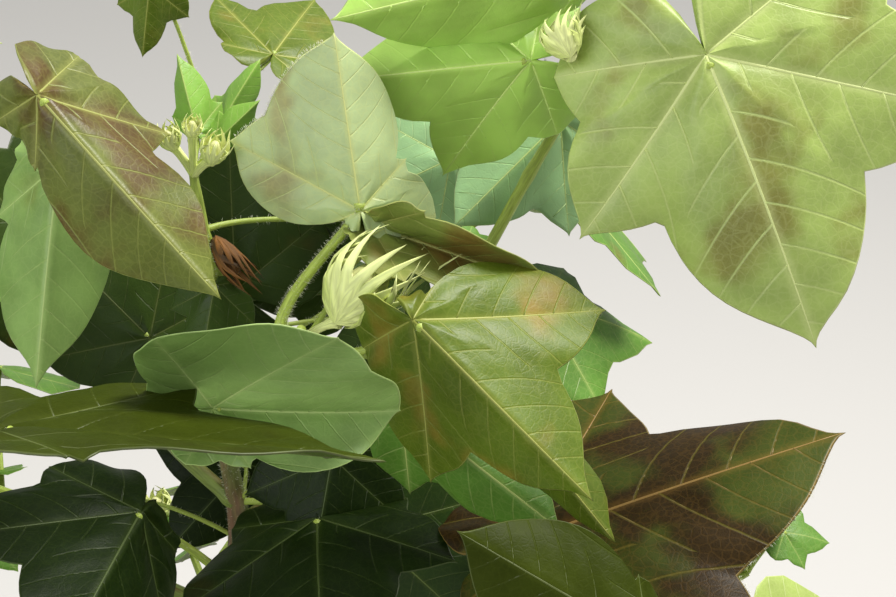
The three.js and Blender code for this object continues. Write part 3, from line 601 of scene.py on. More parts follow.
def vein_place(leaf, lobe, x, y):
    """How far a spot lies beside its lobe's main vein, and how many side veins lie below it."""
    way = np.radians(lobe_angles[lobe])
    along = x * np.sin(way) + y * np.cos(way)
    beside = x * np.cos(way) - y * np.sin(way)
    away = np.abs(beside)
    rise = (along - side_vein_lean * away) / leaf["size"] - side_vein_arch * (away / leaf["size"]) ** 2
    below = np.abs(rise / side_vein_step) ** (1 / side_vein_crowding) * np.sign(rise)
    return beside, below + 0.5 * (beside > 0)


def leaf_surface(leaf, x, y, height):
    """Folds the flat leaf along its midrib, bends it along its length, and puts it in its place."""
    size = leaf["size"]
    away = np.abs(x)
    soft = np.clip(away / (0.05 * size), 0, 1)
    fold = np.radians(np.where(x < 0, leaf["fold"][0], leaf["fold"][1])) * soft * (2 - soft)
    across = np.where(x < 0, -1, 1) * (away * np.cos(fold) - height * np.sin(fold))
    out = away * np.sin(fold) + height * np.cos(fold)
    bend = math.radians(max(leaf["droop"], 0.01)) / size
    turn = bend * y
    local = np.stack([
        across, np.sin(turn) / bend + out * np.sin(turn), -(1 - np.cos(turn)) / bend + out * np.cos(turn),
    ], -1)
    return local @ np.array(leaf["turning"]).T + np.array(leaf["at"])


def blade_relief(leaf, level, angle, share, x, y):
    """Height of the upper skin: sunk at the veins, puffed between them, and wavy at the edge."""
    size = leaf["size"]
    lobe = np.searchsorted(lobe_borders, angle)
    beside, below = vein_place(leaf, lobe, x, y)
    apart = np.abs(angle - lobe_angles[lobe])
    border = np.clip(apart / 28, 0, 1)
    puff = puff_height * size * np.sin(np.pi * border * 0.5) ** 2 * np.sin(np.pi * share ** 0.8)
    sunk = -vein_sink * size * np.exp(-(beside / (0.014 * size)) ** 2) * (1 - share)
    wave = wave_height * size * share ** 4 * np.sin(np.radians(angle) * 5 + leaf["wave"])
    wave += ripple_height * size * share ** 6 * np.sin(np.radians(angle) * 13 + 2 * leaf["wave"])
    relief = puff + sunk + wave * np.clip(apart / 8, 0.25, 1)
    if level is near:
        ramp = np.clip(np.abs(beside) / (0.05 * size), 0, 1) * np.clip((1 - share) / 0.12, 0, 1)
        relief += side_puff_height * size * ramp * (0.5 - 0.5 * np.cos(2 * np.pi * below)) ** 0.7
    return relief


def blade_columns(level):
    """Angles of the blade's columns: even ones, and closer ones at the lobes' tips and borders."""
    special = [a + b for a in lobe_angles for b in level["tips"]] + list(lobe_borders)
    even = np.linspace(-180, 180, level["columns"] + 1)[:-1]
    even = [a for a in even if min(abs(a - b) for b in special) > 1.2]
    return np.array(sorted(special + even))


def blade_part(leaf, level):
    """A blade's two skins, ring by ring from the stalk's end, which meet in a thin margin."""
    angles = blade_columns(level)
    rows = np.concatenate([np.linspace(0, 1, level["rows"])[:-1], [margin_start, 1]])
    rows = 1 - (1 - rows) ** 1.12
    count, last = len(angles), len(rows) - 1
    angle, share = np.meshgrid(angles, rows)
    x, y = blade_spot(leaf, angle, share)
    relief = blade_relief(leaf, level, angle, share, x, y)
    half = blade_half_share * leaf["size"]
    relief[0] = relief[0].mean()
    top = leaf_surface(leaf, x, y, relief + half)
    under = leaf_surface(leaf, x[:last], y[:last], relief[:last] - half)
    top[last] = leaf_surface(leaf, x[last], y[last], relief[last])
    verts = np.concatenate([top.reshape(-1, 3), under.reshape(-1, 3)])
    k = np.arange(count)
    after = (k + 1) % count
    quads, skins, flats, veins = [], [], [], []
    lobe = np.searchsorted(lobe_borders, angles + 1e-3)
    flat = np.stack([x + leaf["shift"], y], -1)

    def lay(row, corners, skin):
        """One ring of faces; a corner is its row, its column and where its skin's corners begin."""
        index = np.stack([c[0] * count + c[1] + c[2] for c in corners], 1)
        places = [vein_place(leaf, lobe, x[c[0], c[1]], y[c[0], c[1]]) for c in corners]
        if row == 0:
            index[:, -1] = -1
        quads.append(index)
        flats.append(np.stack([flat[c[0], c[1]] for c in corners], 1))
        veins.append(np.stack([np.stack([below, beside / leaf["size"]], -1) for beside, below in places], 1))
        skins.append(np.full(count, skin))

    sheet = (last + 1) * count
    lay(0, [(0, k * 0, 0), (1, after, 0), (1, k, 0), (1, k, 0)], leaf["top"])
    lay(0, [(0, k * 0, sheet), (1, k, sheet), (1, after, sheet), (1, after, sheet)], leaf["under"])
    for row in range(1, last):
        rim = row == last - 1
        seam = 0 if rim else sheet
        upper, lower = (leaf["margin"], leaf["margin"]) if rim else (leaf["top"], leaf["under"])
        lay(row, [(row, k, 0), (row, after, 0), (row + 1, after, 0), (row + 1, k, 0)], upper)
        lay(row, [(row, after, sheet), (row, k, sheet), (row + 1, k, seam), (row + 1, after, seam)], lower)
    return {"verts": verts, "faces": np.concatenate(quads), "skin": np.concatenate(skins),
            "flat": np.concatenate(flats), "veins": np.concatenate(veins)}


def ring_faces(count, sides):
    """Faces of a closed tube of rings, with the ring and the step round it of each corner."""
    i, k = (grid.ravel() for grid in np.meshgrid(np.arange(count - 1), np.arange(sides), indexing="ij"))
    cap = np.arange(1, sides - 1)
    rows = np.concatenate([np.stack([i, i, i + 1, i + 1], 1), np.zeros((sides - 2, 4), int),
                           np.full((sides - 2, 4), count - 1)])
    steps = np.concatenate([np.stack([k, k + 1, k + 1, k], 1), np.stack([cap * 0, cap + 1, cap, cap], 1),
                            np.stack([cap * 0, cap, cap + 1, cap], 1)])
    faces = rows * sides + steps % sides
    faces[len(i):, 3] = -1
    return faces, rows, steps


def vein_part(leaf, level, x, y, radius, skin):
    """A vein along a path in the flat leaf: a pale line above, and a ridge on the underside."""
    size, half = leaf["size"], blade_half_share * leaf["size"]
    angle = np.degrees(np.arctan2(x, y))
    share = np.hypot(x, y) / (edge_share(angle, leaf["lobes"]) * size)
    relief = blade_relief(leaf, level, angle, share, x, y)
    step_x, step_y = np.gradient(x), np.gradient(y)
    length = np.hypot(step_x, step_y)
    right_x, right_y = step_y / length, -step_x / length
    if level["sides"] == 6:
        wide, up = np.array([0, 1, 1, 0, -1, -1]), np.array([0.4, 0.0, -0.3, -1.1, -0.3, 0.0])
        deep = np.array([1, 0.9, -0.9, -1, -0.9, 0.9])
    else:
        wide, up, deep = np.array([0, 1, 0, -1]), np.array([0.5, 0, -1.1, 0]), np.array([1, 0, -1, 0])
    x, y, right_x, right_y, radius, relief = (v[:, None] for v in (x, y, right_x, right_y, radius, relief))
    height = relief + half * deep + radius * up
    verts = leaf_surface(leaf, x + right_x * wide * radius, y + right_y * wide * radius, height)
    faces = ring_faces(len(length), len(wide))[0]
    return {"verts": verts.reshape(-1, 3), "faces": faces, "skin": np.full(len(faces), skin)}


def vein_parts(leaf, level):
    """The five main veins and, on either side of each, the side veins that fit inside the outline."""
    size, parts = leaf["size"], []
    for lobe, way in enumerate(np.radians(lobe_angles)):
        reach = float(edge_share(lobe_angles[lobe], leaf["lobes"])) * size
        t = np.linspace(0.004, 0.985, level["veins"])
        strength = (0.7, 0.9, 1, 0.9, 0.7)[lobe] * size
        radius = strength * (vein_thickness * (1 - t) ** 0.9 + vein_tip)
        x, y = reach * t * np.sin(way), reach * t * np.cos(way)
        parts.append(vein_part(leaf, level, x, y, radius, leaf["vein"]))
        if not level["side_veins"]:
            continue
        for side in (-1, 1):
            for number in range(1, 10):
                rise = (number - 0.5 * (side > 0)) ** side_vein_crowding * side_vein_step * size
                if not 0.07 * size < rise < 0.9 * reach:
                    continue
                away = np.linspace(0.001, 0.7, 60) * size
                along = rise + side_vein_lean * away + side_vein_arch * away ** 2 / size
                x = along * np.sin(way) + side * away * np.cos(way)
                y = along * np.cos(way) - side * away * np.sin(way)
                angle = np.degrees(np.arctan2(x, y))
                inside = np.hypot(x, y) < 0.95 * edge_share(angle, leaf["lobes"]) * size
                inside &= np.searchsorted(lobe_borders, angle) == lobe
                end = len(away) if inside.all() else int(np.argmin(inside))
                if end < 5:
                    continue
                steps = np.linspace(0, end - 1, level["side_veins"])
                x, y = np.interp(steps, range(60), x), np.interp(steps, range(60), y)
                radius = size * (side_vein_thickness * (1 - steps / end) + side_vein_tip)
                parts.append(vein_part(leaf, level, x, y, radius, leaf["side_vein"]))
    return parts


# Skin of the leaves: green with a pale net of veins and, on some leaves, bronze between the veins
leaf_skin, given, made = shade_group(
    "leaf_skin", {"Flat": "Vector", "Veins": "Vector", "Blade": "Color", "Vein": "Color", "Bronze": "Color",
                  "Bronze Share": "Float", "Vein Strength": "Float"},
    {"Color": "Color", "Height": "Float", "Roughness": "Float"})


def leaf_math(operation, *values):
    return add_math(leaf_skin, operation, *values)


def vein_net(scale, wide):
    inputs = {"Vector": given["Flat"], "Scale": scale}
    cells = add_node(leaf_skin, "TexVoronoi", inputs, feature="DISTANCE_TO_EDGE")
    return add_ramp(leaf_skin, cells.outputs["Distance"], 0, wide, 1, 0)


place = add_node(leaf_skin, "SeparateXYZ", {"Vector": given["Veins"]}).outputs
turn = leaf_math("FRACT", leaf_math("ADD", place["X"], 0.5))
side_veins = add_ramp(leaf_skin, leaf_math("ABSOLUTE", leaf_math("SUBTRACT", turn, 0.5)), 0.008, 0.05, 1, 0)
main_vein = add_ramp(leaf_skin, leaf_math("ABSOLUTE", place["Y"]), 0.004, 0.03, 1, 0)
net, fine_net = vein_net(350, 0.12), vein_net(900, 0.25)
mottle = add_noise(leaf_skin, given["Flat"], 60, 5)
broad = add_noise(leaf_skin, given["Flat"], 26, 3)
low = leaf_math("SUBTRACT", 0.78, leaf_math("MULTIPLY", given["Bronze Share"], 0.5))
blotch = add_ramp(leaf_skin, broad, low, leaf_math("ADD", low, 0.14))
free = leaf_math("SUBTRACT", 1, leaf_math("MULTIPLY", side_veins, 0.75))
inner = add_ramp(leaf_skin, place["X"], 3.6, 5.2, 1, 0)
blotch = leaf_math("MULTIPLY", leaf_math("MULTIPLY", blotch, free), inner)
skin = add_mix(leaf_skin, blotch, given["Blade"], given["Bronze"])
skin = add_shading(leaf_skin, skin, mottle, 0.84, 1.14)
for mask, share in ((main_vein, 0.3), (side_veins, 0.3), (net, 0.12), (fine_net, 0.05)):
    amount = leaf_math("MULTIPLY", leaf_math("MULTIPLY", mask, share), given["Vein Strength"])
    skin = add_mix(leaf_skin, amount, skin, given["Vein"])
height = leaf_math("MULTIPLY_ADD", side_veins, -0.55, leaf_math("MULTIPLY", net, -0.07))
height = leaf_math("MULTIPLY_ADD", fine_net, -0.05, height)
height = leaf_math("MULTIPLY_ADD", broad, 0.45, height)
leaf_skin.links.new(skin, made["Color"])
leaf_skin.links.new(height, made["Height"])
leaf_skin.links.new(add_ramp(leaf_skin, mottle, 0.2, 0.8, 0.36, 0.5), made["Roughness"])


def leaf_material(name, blade, bronze, share, vein, strength, gloss, glow):
    """Leaf skin that lets a share of the light, its glow, through the blade."""
    material, tree, shader = material_with(name, Specular_IOR_Level=gloss)
    inputs = {"Blade": blade, "Bronze": bronze, "Bronze Share": share,
              "Vein": vein, "Vein Strength": strength}
    for layer in ("flat", "veins"):
        inputs[layer.title()] = add_node(tree, "UVMap", uv_map=layer).outputs["UV"]
    node = add_node(tree, "Group", inputs, node_tree=leaf_skin)
    add_relief(tree, shader, node.outputs["Height"], 0.45, 0.0006)
    for socket, target in (("Color", "Base Color"), ("Roughness", "Roughness")):
        tree.links.new(node.outputs[socket], shader.inputs[target])
    through = add_node(tree, "BsdfTranslucent", {"Color": tuple(min(1, 1.5 * c) for c in blade[:3]) + (1,)})
    blend = add_node(tree, "MixShader", {0: glow, 1: shader.outputs["BSDF"], 2: through.outputs["BSDF"]})
    tree.links.new(blend.outputs["Shader"], tree.nodes["Material Output"].inputs["Surface"])
    return material


pale_vein = (196, 210, 122)
leaf_tints = {  # blade, bronze between the veins and its share, vein, its strength, gloss, light let through
    "fresh": ((136, 186, 70), (152, 172, 66), 0.2, pale_vein, 0.7, 0.5, 0.24),
    # The lime tint is the fresh green made much lighter: painted light on leaves that stand in full light.
    "lime": ((202, 248, 124), (190, 222, 100), 0.2, (222, 238, 150), 0.8, 0.45, 0.45),
    "full": ((92, 138, 46), (118, 120, 46), 0.25, pale_vein, 0.6, 0.4, 0.16),
    "broad": ((168, 190, 98), (136, 134, 60), 0.5, (222, 230, 158), 1.0, 0.5, 0.2),
    "olive": ((90, 112, 22), (140, 118, 42), 0.5, (176, 178, 88), 0.7, 0.3, 0.14),
    "waxy": ((140, 174, 94), (140, 160, 80), 0.3, (190, 212, 132), 0.8, 0.4, 0.16),
    # The band tint is a dark olive: painted shade for leaves seen edge-on and turned away from the light.
    "band": ((50, 60, 10), (46, 52, 10), 0.5, (90, 102, 36), 0.4, 0.05, 0.06),
    # The rust tint is the leaf's own bronze, made darker still as painted shade.
    "rust": ((58, 70, 20), (42, 30, 7), 0.74, (156, 118, 54), 0.5, 0.12, 0.06),
    # The deep tint is a dark green for low and inner leaves, darkened partly as painted shade.
    "deep": ((38, 62, 14), (50, 58, 14), 0.3, (104, 122, 50), 0.5, 0.3, 0.08),
    # This tint is the deep green made darker still: painted shade for the low leaves at the front.
    "painted_shade_dusk": ((22, 38, 6), (48, 44, 8), 0.35, (78, 96, 36), 0.5, 0.14, 0.04),
    # This tint is a dull dark green: painted shade for leaves inside the crown.
    "shade": ((48, 68, 20), (80, 68, 20), 0.3, (92, 104, 40), 0.4, 0.2, 0.06),
    # The grey tint is the leaf's own pale grey-green with a painted silvery sheen in it.
    "grey": ((186, 206, 148), (152, 138, 86), 0.4, (222, 224, 140), 1.0, 0.45, 0.12),
    "coppery": ((132, 148, 70), (136, 108, 52), 0.5, (184, 184, 104), 0.7, 0.4, 0.16),
    "curled": ((98, 108, 42), (86, 64, 22), 0.62, (176, 180, 96), 0.8, 0.4, 0.12),
    "teal": ((166, 206, 150), (166, 206, 150), 0.0, pale_vein, 0.45, 0.4, 0.3),
}
# These tints are darkened as painted shade, some wholly and some in part; their leaves take under_dark, a
# darker underside that is painted shade too.
dark_tints = ("deep", "painted_shade_dusk", "shade", "rust", "band")
undersides = {"under": (132, 152, 84), "under_dark": (72, 90, 34)}
skin_list, skin_number = [], {}


def between(first, second, share):
    return tuple(a + (b - a) * share for a, b in zip(first, second))


def add_skin(name, material):
    skin_number[name] = len(skin_list)
    skin_list.append(material)


for name, (blade, bronze, share, vein, strength, gloss, glow) in leaf_tints.items():
    blade, bronze, vein = colour(*blade), colour(*bronze), colour(*vein)
    add_skin(name, leaf_material("leaf_top_" + name, blade, bronze, share, vein, strength, gloss, glow))
    for part, paleness in (("vein", 0.8), ("side", 0.4), ("margin", 0.5)):
        line = between(blade, vein, paleness)
        part += "_" + name
        add_skin(part, stem_material("leaf_" + part, line, between(line, blade, 0.3), 0.4, 0.5, 0.2))
for name, blade in undersides.items():
    blade = colour(*blade)
    add_skin(name, leaf_material("leaf_" + name, blade, blade, 0.0, colour(*pale_vein), 0.6, 0.3, 0.12))


def leaf_turn(turn, lean, roll):
    """Rolled about the midrib, tip leaned up, turned clockwise."""
    turn, lean, roll = (math.radians(a) for a in (turn, lean, roll))
    return Matrix.Rotation(-turn, 3, "Z") @ Matrix.Rotation(lean, 3, "X") @ Matrix.Rotation(roll, 3, "Y")


def tinted(leaf, tint, number):
    leaf["top"] = skin_number[tint]
    leaf["under"] = skin_number["under_dark" if tint in dark_tints else "under"]
    leaf["vein"], leaf["side_vein"] = skin_number["vein_" + tint], skin_number["side_" + tint]
    leaf["margin"] = skin_number["margin_" + tint]
    leaf["shift"] = 0.37 * (number % 17) + 0.11 * (number % 5)
    leaf["wave"] = 1.7 * number
    return leaf


def stalk_points(leaf, count):
    """The stalk leaves its node upward and outward and meets the blade from behind."""
    at, turning, root = Vector(leaf["at"]), leaf["turning"], Vector(leaf["root"])
    end = at + turning @ Vector((0, 0.045 * leaf["size"], 0))
    length = (end - root).length
    rise = ((at - root).normalized() + Vector(leaf.get("lift", (0, 0, 0.35)))).normalized()
    behind = turning @ Vector(leaf.get("behind", (0, -0.75, -0.65)))
    curve = (root, root + rise * length * 0.34, end + behind * length * 0.24, end)
    t = np.linspace(0, 1, count)[:, None]
    weights = ((1 - t) ** 3, 3 * t * (1 - t) ** 2, 3 * t ** 2 * (1 - t), t ** 3)
    return sum(weight * np.array(point) for weight, point in zip(weights, curve))


def tube_part(points, radii, sides, skin=0):
    """A closed round tube through points, mapped round and along."""
    points, radii = np.asarray(points, float), np.asarray(radii, float)
    tangents = np.gradient(points, axis=0)
    tangents /= np.linalg.norm(tangents, axis=1)[:, None]
    side = np.cross(tangents[0], (1, 0, 0) if abs(tangents[0][2]) > 0.9 else (0, 0, 1))
    across = []
    for tangent in tangents:
        side = side - tangent * side.dot(tangent)
        side = side / np.linalg.norm(side)
        across.append(side)
    across = np.array(across)
    other = np.cross(tangents, across)
    turn = 2 * np.pi * np.arange(sides) / sides
    ring = across[:, None] * np.cos(turn)[None, :, None] + other[:, None] * np.sin(turn)[None, :, None]
    verts = points[:, None] + ring * radii[:, None, None]
    along = np.concatenate([[0], np.cumsum(np.linalg.norm(np.diff(points, axis=0), axis=1))])
    faces, rows, steps = ring_faces(len(points), sides)
    return {"verts": verts.reshape(-1, 3), "faces": faces, "skin": np.full(len(faces), skin),
            "flat": np.stack([steps / sides, along[rows]], -1)}


def stalk_radii(leaf, t):
    grown = min(max(leaf["size"] / 0.070, 0.55), 1.1) * leaf.get("thick", 1)
    return (1.55 - 0.5 * t) * 0.001 * grown


def stalk_part(leaf, sides, count):
    """A stalk with a swelling at its node and another where the blade begins."""
    t = np.linspace(0, 1, count)
    swollen = 1 + 0.3 * np.exp(-(t / 0.06) ** 2) + 0.25 * np.exp(-((1 - t) / 0.07) ** 2)
    return tube_part(stalk_points(leaf, count), stalk_radii(leaf, t) * swollen, sides)


hair_radius = 0.00007


def hair_part(points, radii, count, length, seed):
    """Short fine hairs, each a thin three-sided spike, that stand out all round a limb."""
    rng = np.random.default_rng(seed)
    points, radii = np.asarray(points, float), np.asarray(radii, float)
    spot = rng.uniform(0, len(points) - 1.001, count)
    low = spot.astype(int)
    part = (spot - low)[:, None]
    middle = points[low] * (1 - part) + points[low + 1] * part
    radius = radii[low] * (1 - part[:, 0]) + radii[low + 1] * part[:, 0]
    tangent = points[low + 1] - points[low]
    tangent /= np.linalg.norm(tangent, axis=1)[:, None]
    away = rng.normal(size=(count, 3))
    away -= tangent * (away * tangent).sum(1)[:, None]
    away /= np.linalg.norm(away, axis=1)[:, None]
    side = np.cross(tangent, away)
    root = middle + away * radius[:, None] * 0.97
    reach = length * rng.uniform(0.5, 1.15, count)[:, None]
    lean = tangent * rng.uniform(-0.1, 0.5, count)[:, None]
    sway = side * rng.normal(0, 0.2, (count, 1))
    tip = root + (away + lean + sway) * reach
    across, over = side * hair_radius, tangent * hair_radius * 1.7
    verts = np.stack([root + across, root - across, root + over, tip], 1)
    corners = np.array([(0, 1, 2, 0), (0, 2, 3, 0), (2, 1, 3, 0), (1, 0, 3, 0)])
    faces = (np.arange(count)[:, None, None] * 4 + corners).reshape(-1, 4)
    faces[:, 3] = -1
    return {"verts": verts.reshape(-1, 3), "faces": faces, "skin": np.zeros(len(faces))}


# Upper front leaves, laid out one by one around the point the camera looks at: where the blade
# begins (across, up and toward the viewer, in mm), how it is turned, its size, folds and lobes,
# the twig node its stalk grows from, and its colour.
laid_leaves = {
    "right": [
        ((75, 71, 20), 158, 5, 0, 94, (-2, -20), 25, 1, (0.66, 0.88, 0.72, 0.5), "broad", near),
        ((25, 72, 0), 264, 5, 0, 60, (-48, -30), 10, 1, (0.55, 0.9, 0.8, 0.5), "lime", near),
        ((45, 100, 18), 257, 0, 0, 82, (-58, -10), 2, 2, (0.2, 0.32, 0.88, 0.6), "lime", near),
        ((38, 60, -60), 225, 10, 0, 52, (-30, -30), 10, 0, short_lobes, "teal", medium),
    ],
    "centre": [
        ((-26, 26, 10), -8, 15, 0, 53, (-16, -32), 10, 0, (0.05, 0.86, 0.42, 0.52, (0.5, 1)), "grey", near),
        ((-23, 22, 2), 109, 0, -10, 60, (76, 44), 5, 1, (0.15, 0.42, 0.46, 0.2), "coppery", near),
        ((-10, -6, 35), 135, 10, 0, 72, (-38, -52), 10, 1, (0.14, 0.9, 0.88, 0.4), "olive", near),
        ((-15, -33, -12), 128, 0, 0, 64, (-40, -46), 5, 0, (0.3, 0.5, 0.6, 0.4), "full", medium),
        ((16, -31, 4), 141, 0, 0, 55, (-60, -60), 5, 0, (0.15, 0.2, 0.2, 0.15), "olive", medium),
        ((-62, -29, 68), 94, -3, 13, 51, (45, 36), 21, 0, (0.4, 0.94, 0.38, 0.33, (0.3, 0.3)), "waxy", near),
    ],
    "front": [
        ((-107, -31, 115), 92, 3, -73, 93, (-7, 16), 5, 1, (0.49, 0.72, 0.55, 0.32), "band", near),
    ],
    "low_right": [
        ((23, -76, -20), 70, 0, -55, 108, (-10, -10), 5, 0, (0.35, 0.8, 0.9, 0.35), "rust", near),
        ((55, -94, 52), 300, 0, 0, 61, (-20, -30), 4, 1, (0.5, 0.8, 0.32, 0.2), "band", near),
    ],
    "back": [
        ((1, 51, -110), 245, 0, 0, 40, (-20, -20), 5, 0, (0.6, 0.88, 0.88, 0.6), "teal", medium),
        ((-66, 92, -130), 25, -50, 0, 50, (-4, -4), 5, 1, (0.4, 0.8, 0.8, 0.4), "olive", medium),
        ((-104, 109, -80), 190, -20, 0, 26, (-40, -40), 5, 1, short_lobes, "olive", medium),
    ],
    "tip": [
        ((-113, 56, 48), 138, 5, 0, 76, (-62, -35), 10, 0, (0.4, 0.62, 0.3, 0.25), "curled", near),
        ((-115, 40, 12), 187, 0, 0, 68, (-50, -40), 10, 0, (0.3, 0.55, 0.5, 0.3), "waxy", near),
        ((-72, 4, -10), 190, 0, 0, 27, (-30, -30), 10, 0, (0.2, 0.7, 0.7, 0.2), "shade", medium),
        ((-34, 27, -45), 290, -30, 0, 44, (-60, -60), 5, 0, short_lobes, "shade", medium),
        ((-70, 47, 3), 50, 20, 10, 19, (-50, -50), 30, 1, (0.3, 0.6, 0.6, 0.3), "fresh", medium),
        ((-76, 50, -2), 345, 10, 0, 26, (-55, -45), 30, 1, (0.3, 0.6, 0.6, 0.3), "fresh", medium),
        ((-70, 54, -10), 30, 0, 0, 24, (-50, -50), 20, 1, (0.3, 0.6, 0.6, 0.3), "fresh", medium),
    ],
}
# The two low front leaves and the inner ones take tints darkened as painted shade.
stem_leaves = {
    "low_front": ((-43, -72, -45), 170, 66, 0, 76, (-8, -8), 15, 800, (0.42, 0.7, 0.74, 0.42), "painted_shade_dusk", near),
    "low_left": ((-98, -68, -30), 200, 62, 0, 74, (-50, -8), 10, 822, (0.3, 0.6, 0.88, 0.5), "painted_shade_dusk", near),
    "inner_right": ((-36, 2, -76), 265, 0, 0, 36, (-50, -50), 5, 905, short_lobes, "shade", medium),
    "inner_left": ((-102, -7, -70), 240, 0, 0, 28, (-30, -30), 5, 890, short_lobes, "shade", medium),
    "small_left": ((-109, -68, -60), 245, 20, 0, 20, (-10, -10), 5, 846, short_lobes, "deep", medium),
}
# These leaves fill the crown's dark inside, and their dark tints are painted shade.
inner_leaves = [  # behind those of the front, where the crown is dense
    ((-72, 3, -66), 302, 5, -29, 60, (-12, -12), 12, 915, plain_lobes, "shade", medium),
    ((-98, -13, -46), 314, 1, -6, 47, (-12, -12), 12, 916, plain_lobes, "shade", medium),
    ((-28, -79, -69), 134, -6, 1, 55, (-12, -12), 12, 862, plain_lobes, "deep", medium),
    ((-138, 18, -60), 57, -43, 29, 58, (-12, -12), 12, 884, plain_lobes, "shade", medium),
    ((-38, -52, -44), 190, 0, 0, 40, (-20, -20), 10, 862, plain_lobes, "painted_shade_dusk", medium),
    ((-71, -58, -86), 222, 0, 0, 42, (-20, -20), 10, 850, plain_lobes, "painted_shade_dusk", medium),
    ((-14, -8, -62), 238, 0, 0, 34, (-20, -20), 10, 925, plain_lobes, "shade", medium),
]
tip_nodes = [from_mm((-2, -4, 968)), from_mm((-3, -6, 988))]
hair_counts, plain_hair_count, rim_hair_count = {5: 900, 1: 300, 2: 300}, 160, 420
rim_hairs = {5: (-54, -3), 12: (2, 60)}  # by leaf number, as above: the stretch of margin, in degrees
stalk_hair_length, rim_hair_length = 0.0013, 0.0011
first_node_gap, twig_end_radius = 0.0063, 0.0015


def sight_to_frame(point):
    return sight_centre + sight_turn @ from_mm(point)


def laid_leaf(row, root, number):
    """A leaf from its row: place, turn, lean, roll, size, folds, droop, node, lobes, colour and fineness."""
    at, turn, lean, roll, size, fold, droop, _, lobes, tint, level = row
    turning = sight_turn @ leaf_turn(turn, lean, roll)
    leaf = {"at": sight_to_frame(at), "turning": turning, "size": size * 0.001, "fold": fold, "droop": droop,
            "lobes": lobes, "root": root, "level": level}
    return tinted(leaf, tint, number)


def rim_points(leaf, first, last):
    """Points along the margin of a blade, from one angle to another."""
    angle = np.linspace(first, last, 60)
    x, y = blade_spot(leaf, angle, 1)
    return leaf_surface(leaf, x, y, blade_relief(leaf, leaf["level"], angle, 1, x, y))


placed_leaves, hair_parts = [], []


def add_leaf(blades, stalks, leaf, level, hair_count=0):
    """Adds a leaf's blade, veins and stalk, and hairs on the stalk."""
    placed_leaves.append(leaf)
    blades.append(blade_part(leaf, level))
    blades.extend(vein_parts(leaf, level))
    sides, count = (6, 10) if level is far else (10, 22)
    stalks.append(stalk_part(leaf, sides, count))
    if hair_count:
        radii = stalk_radii(leaf, np.linspace(0, 1, count))
        seed = int(leaf["wave"] * 10)
        hair_parts.append(hair_part(stalk_points(leaf, count), radii, hair_count, stalk_hair_length, seed))


def bough_heading(start, tip):
    path = bough_points(start, tip, 4)
    return (path[4] - path[3]).normalized()


def twig_part(start, tip, nodes, sides):
    """A twig from inside its bough's tip through its nodes, swollen at each node."""
    heading = bough_heading(start, tip)
    corners = [tip - heading * 0.001, tip + heading * first_node_gap] + nodes
    widths = np.linspace(bough_radius(start) * bough_taper, twig_end_radius, len(corners))
    points, radii = [], []
    for i in range(len(corners) - 1):
        for t in np.linspace(0, 1, 7)[:-1]:
            swelling = 0.22 * math.exp(-(t / 0.12) ** 2) if i > 1 else 0
            points.append(corners[i].lerp(corners[i + 1], t))
            radii.append((widths[i] * (1 - t) + widths[i + 1] * t) * (1 + swelling))
    return tube_part(points + [corners[-1]], radii + [widths[-1]], sides)


def tip_shoot_part():
    """The soft green end of the main stem, which bends forward through the tip's nodes."""
    end = stem_point(stem_top)
    path = [end - Vector((0, 0, 0.002))] + [end.lerp(tip_nodes[0], t) for t in (0.3, 0.6, 1)]
    path += [tip_nodes[0].lerp(tip_nodes[1], t) for t in (0.5, 1)]
    return tube_part(path, [0.0029, 0.0027, 0.0024, 0.0022, 0.0019, 0.0014], 12)


special_stalks = {  # the stout stalk beside the front bud, and the two that pass behind it
    5: {"thick": 1.7, "lift": (-1.35, 0, 0)},
    6: {"thick": 0.8, "lift": (1.3, 0.5, -0.2), "root": from_mm((26, -36, 944))},
    7: {"lift": (0, 0, -0.6), "behind": (0, -0.35, -1.9), "root": from_mm((26, -36, 944))},
}
laid_stalks, leaf_groups, leaf_nodes = [], {}, {}
number = 0
for name, rows in laid_leaves.items():
    leaf_groups[name], leaf_nodes[name] = [], ["mass_" + name]
    if name == "tip":
        nodes = tip_nodes
        laid_stalks.append(tip_shoot_part())
    else:
        _, tip, twig = laid_boughs[name]
        nodes = [from_mm(point) for point in twig]
        laid_stalks.append(twig_part(bough_ends[name][0], from_mm(tip), nodes, 12))
    for row in rows:
        number += 1
        leaf = laid_leaf(row, nodes[row[7]], number)
        leaf.update(special_stalks.get(number, {}))
        add_leaf(leaf_groups[name], laid_stalks, leaf, row[10], hair_counts.get(number, plain_hair_count))
        if number in rim_hairs:
            margin = rim_points(leaf, *rim_hairs[number])
            radii = np.full(len(margin), 0.0002)
            hair_parts.append(hair_part(margin, radii, rim_hair_count, rim_hair_length, 90 + number))
leaf_groups["stem_leaves"], leaf_nodes["stem_leaves"] = [], ["leaf_" + name for name in stem_leaves]
for row in list(stem_leaves.values()) + inner_leaves:
    number += 1
    leaf = laid_leaf(row, stem_point(row[7] * 0.001), number)
    add_leaf(leaf_groups["stem_leaves"], laid_stalks, leaf, row[10], 100)


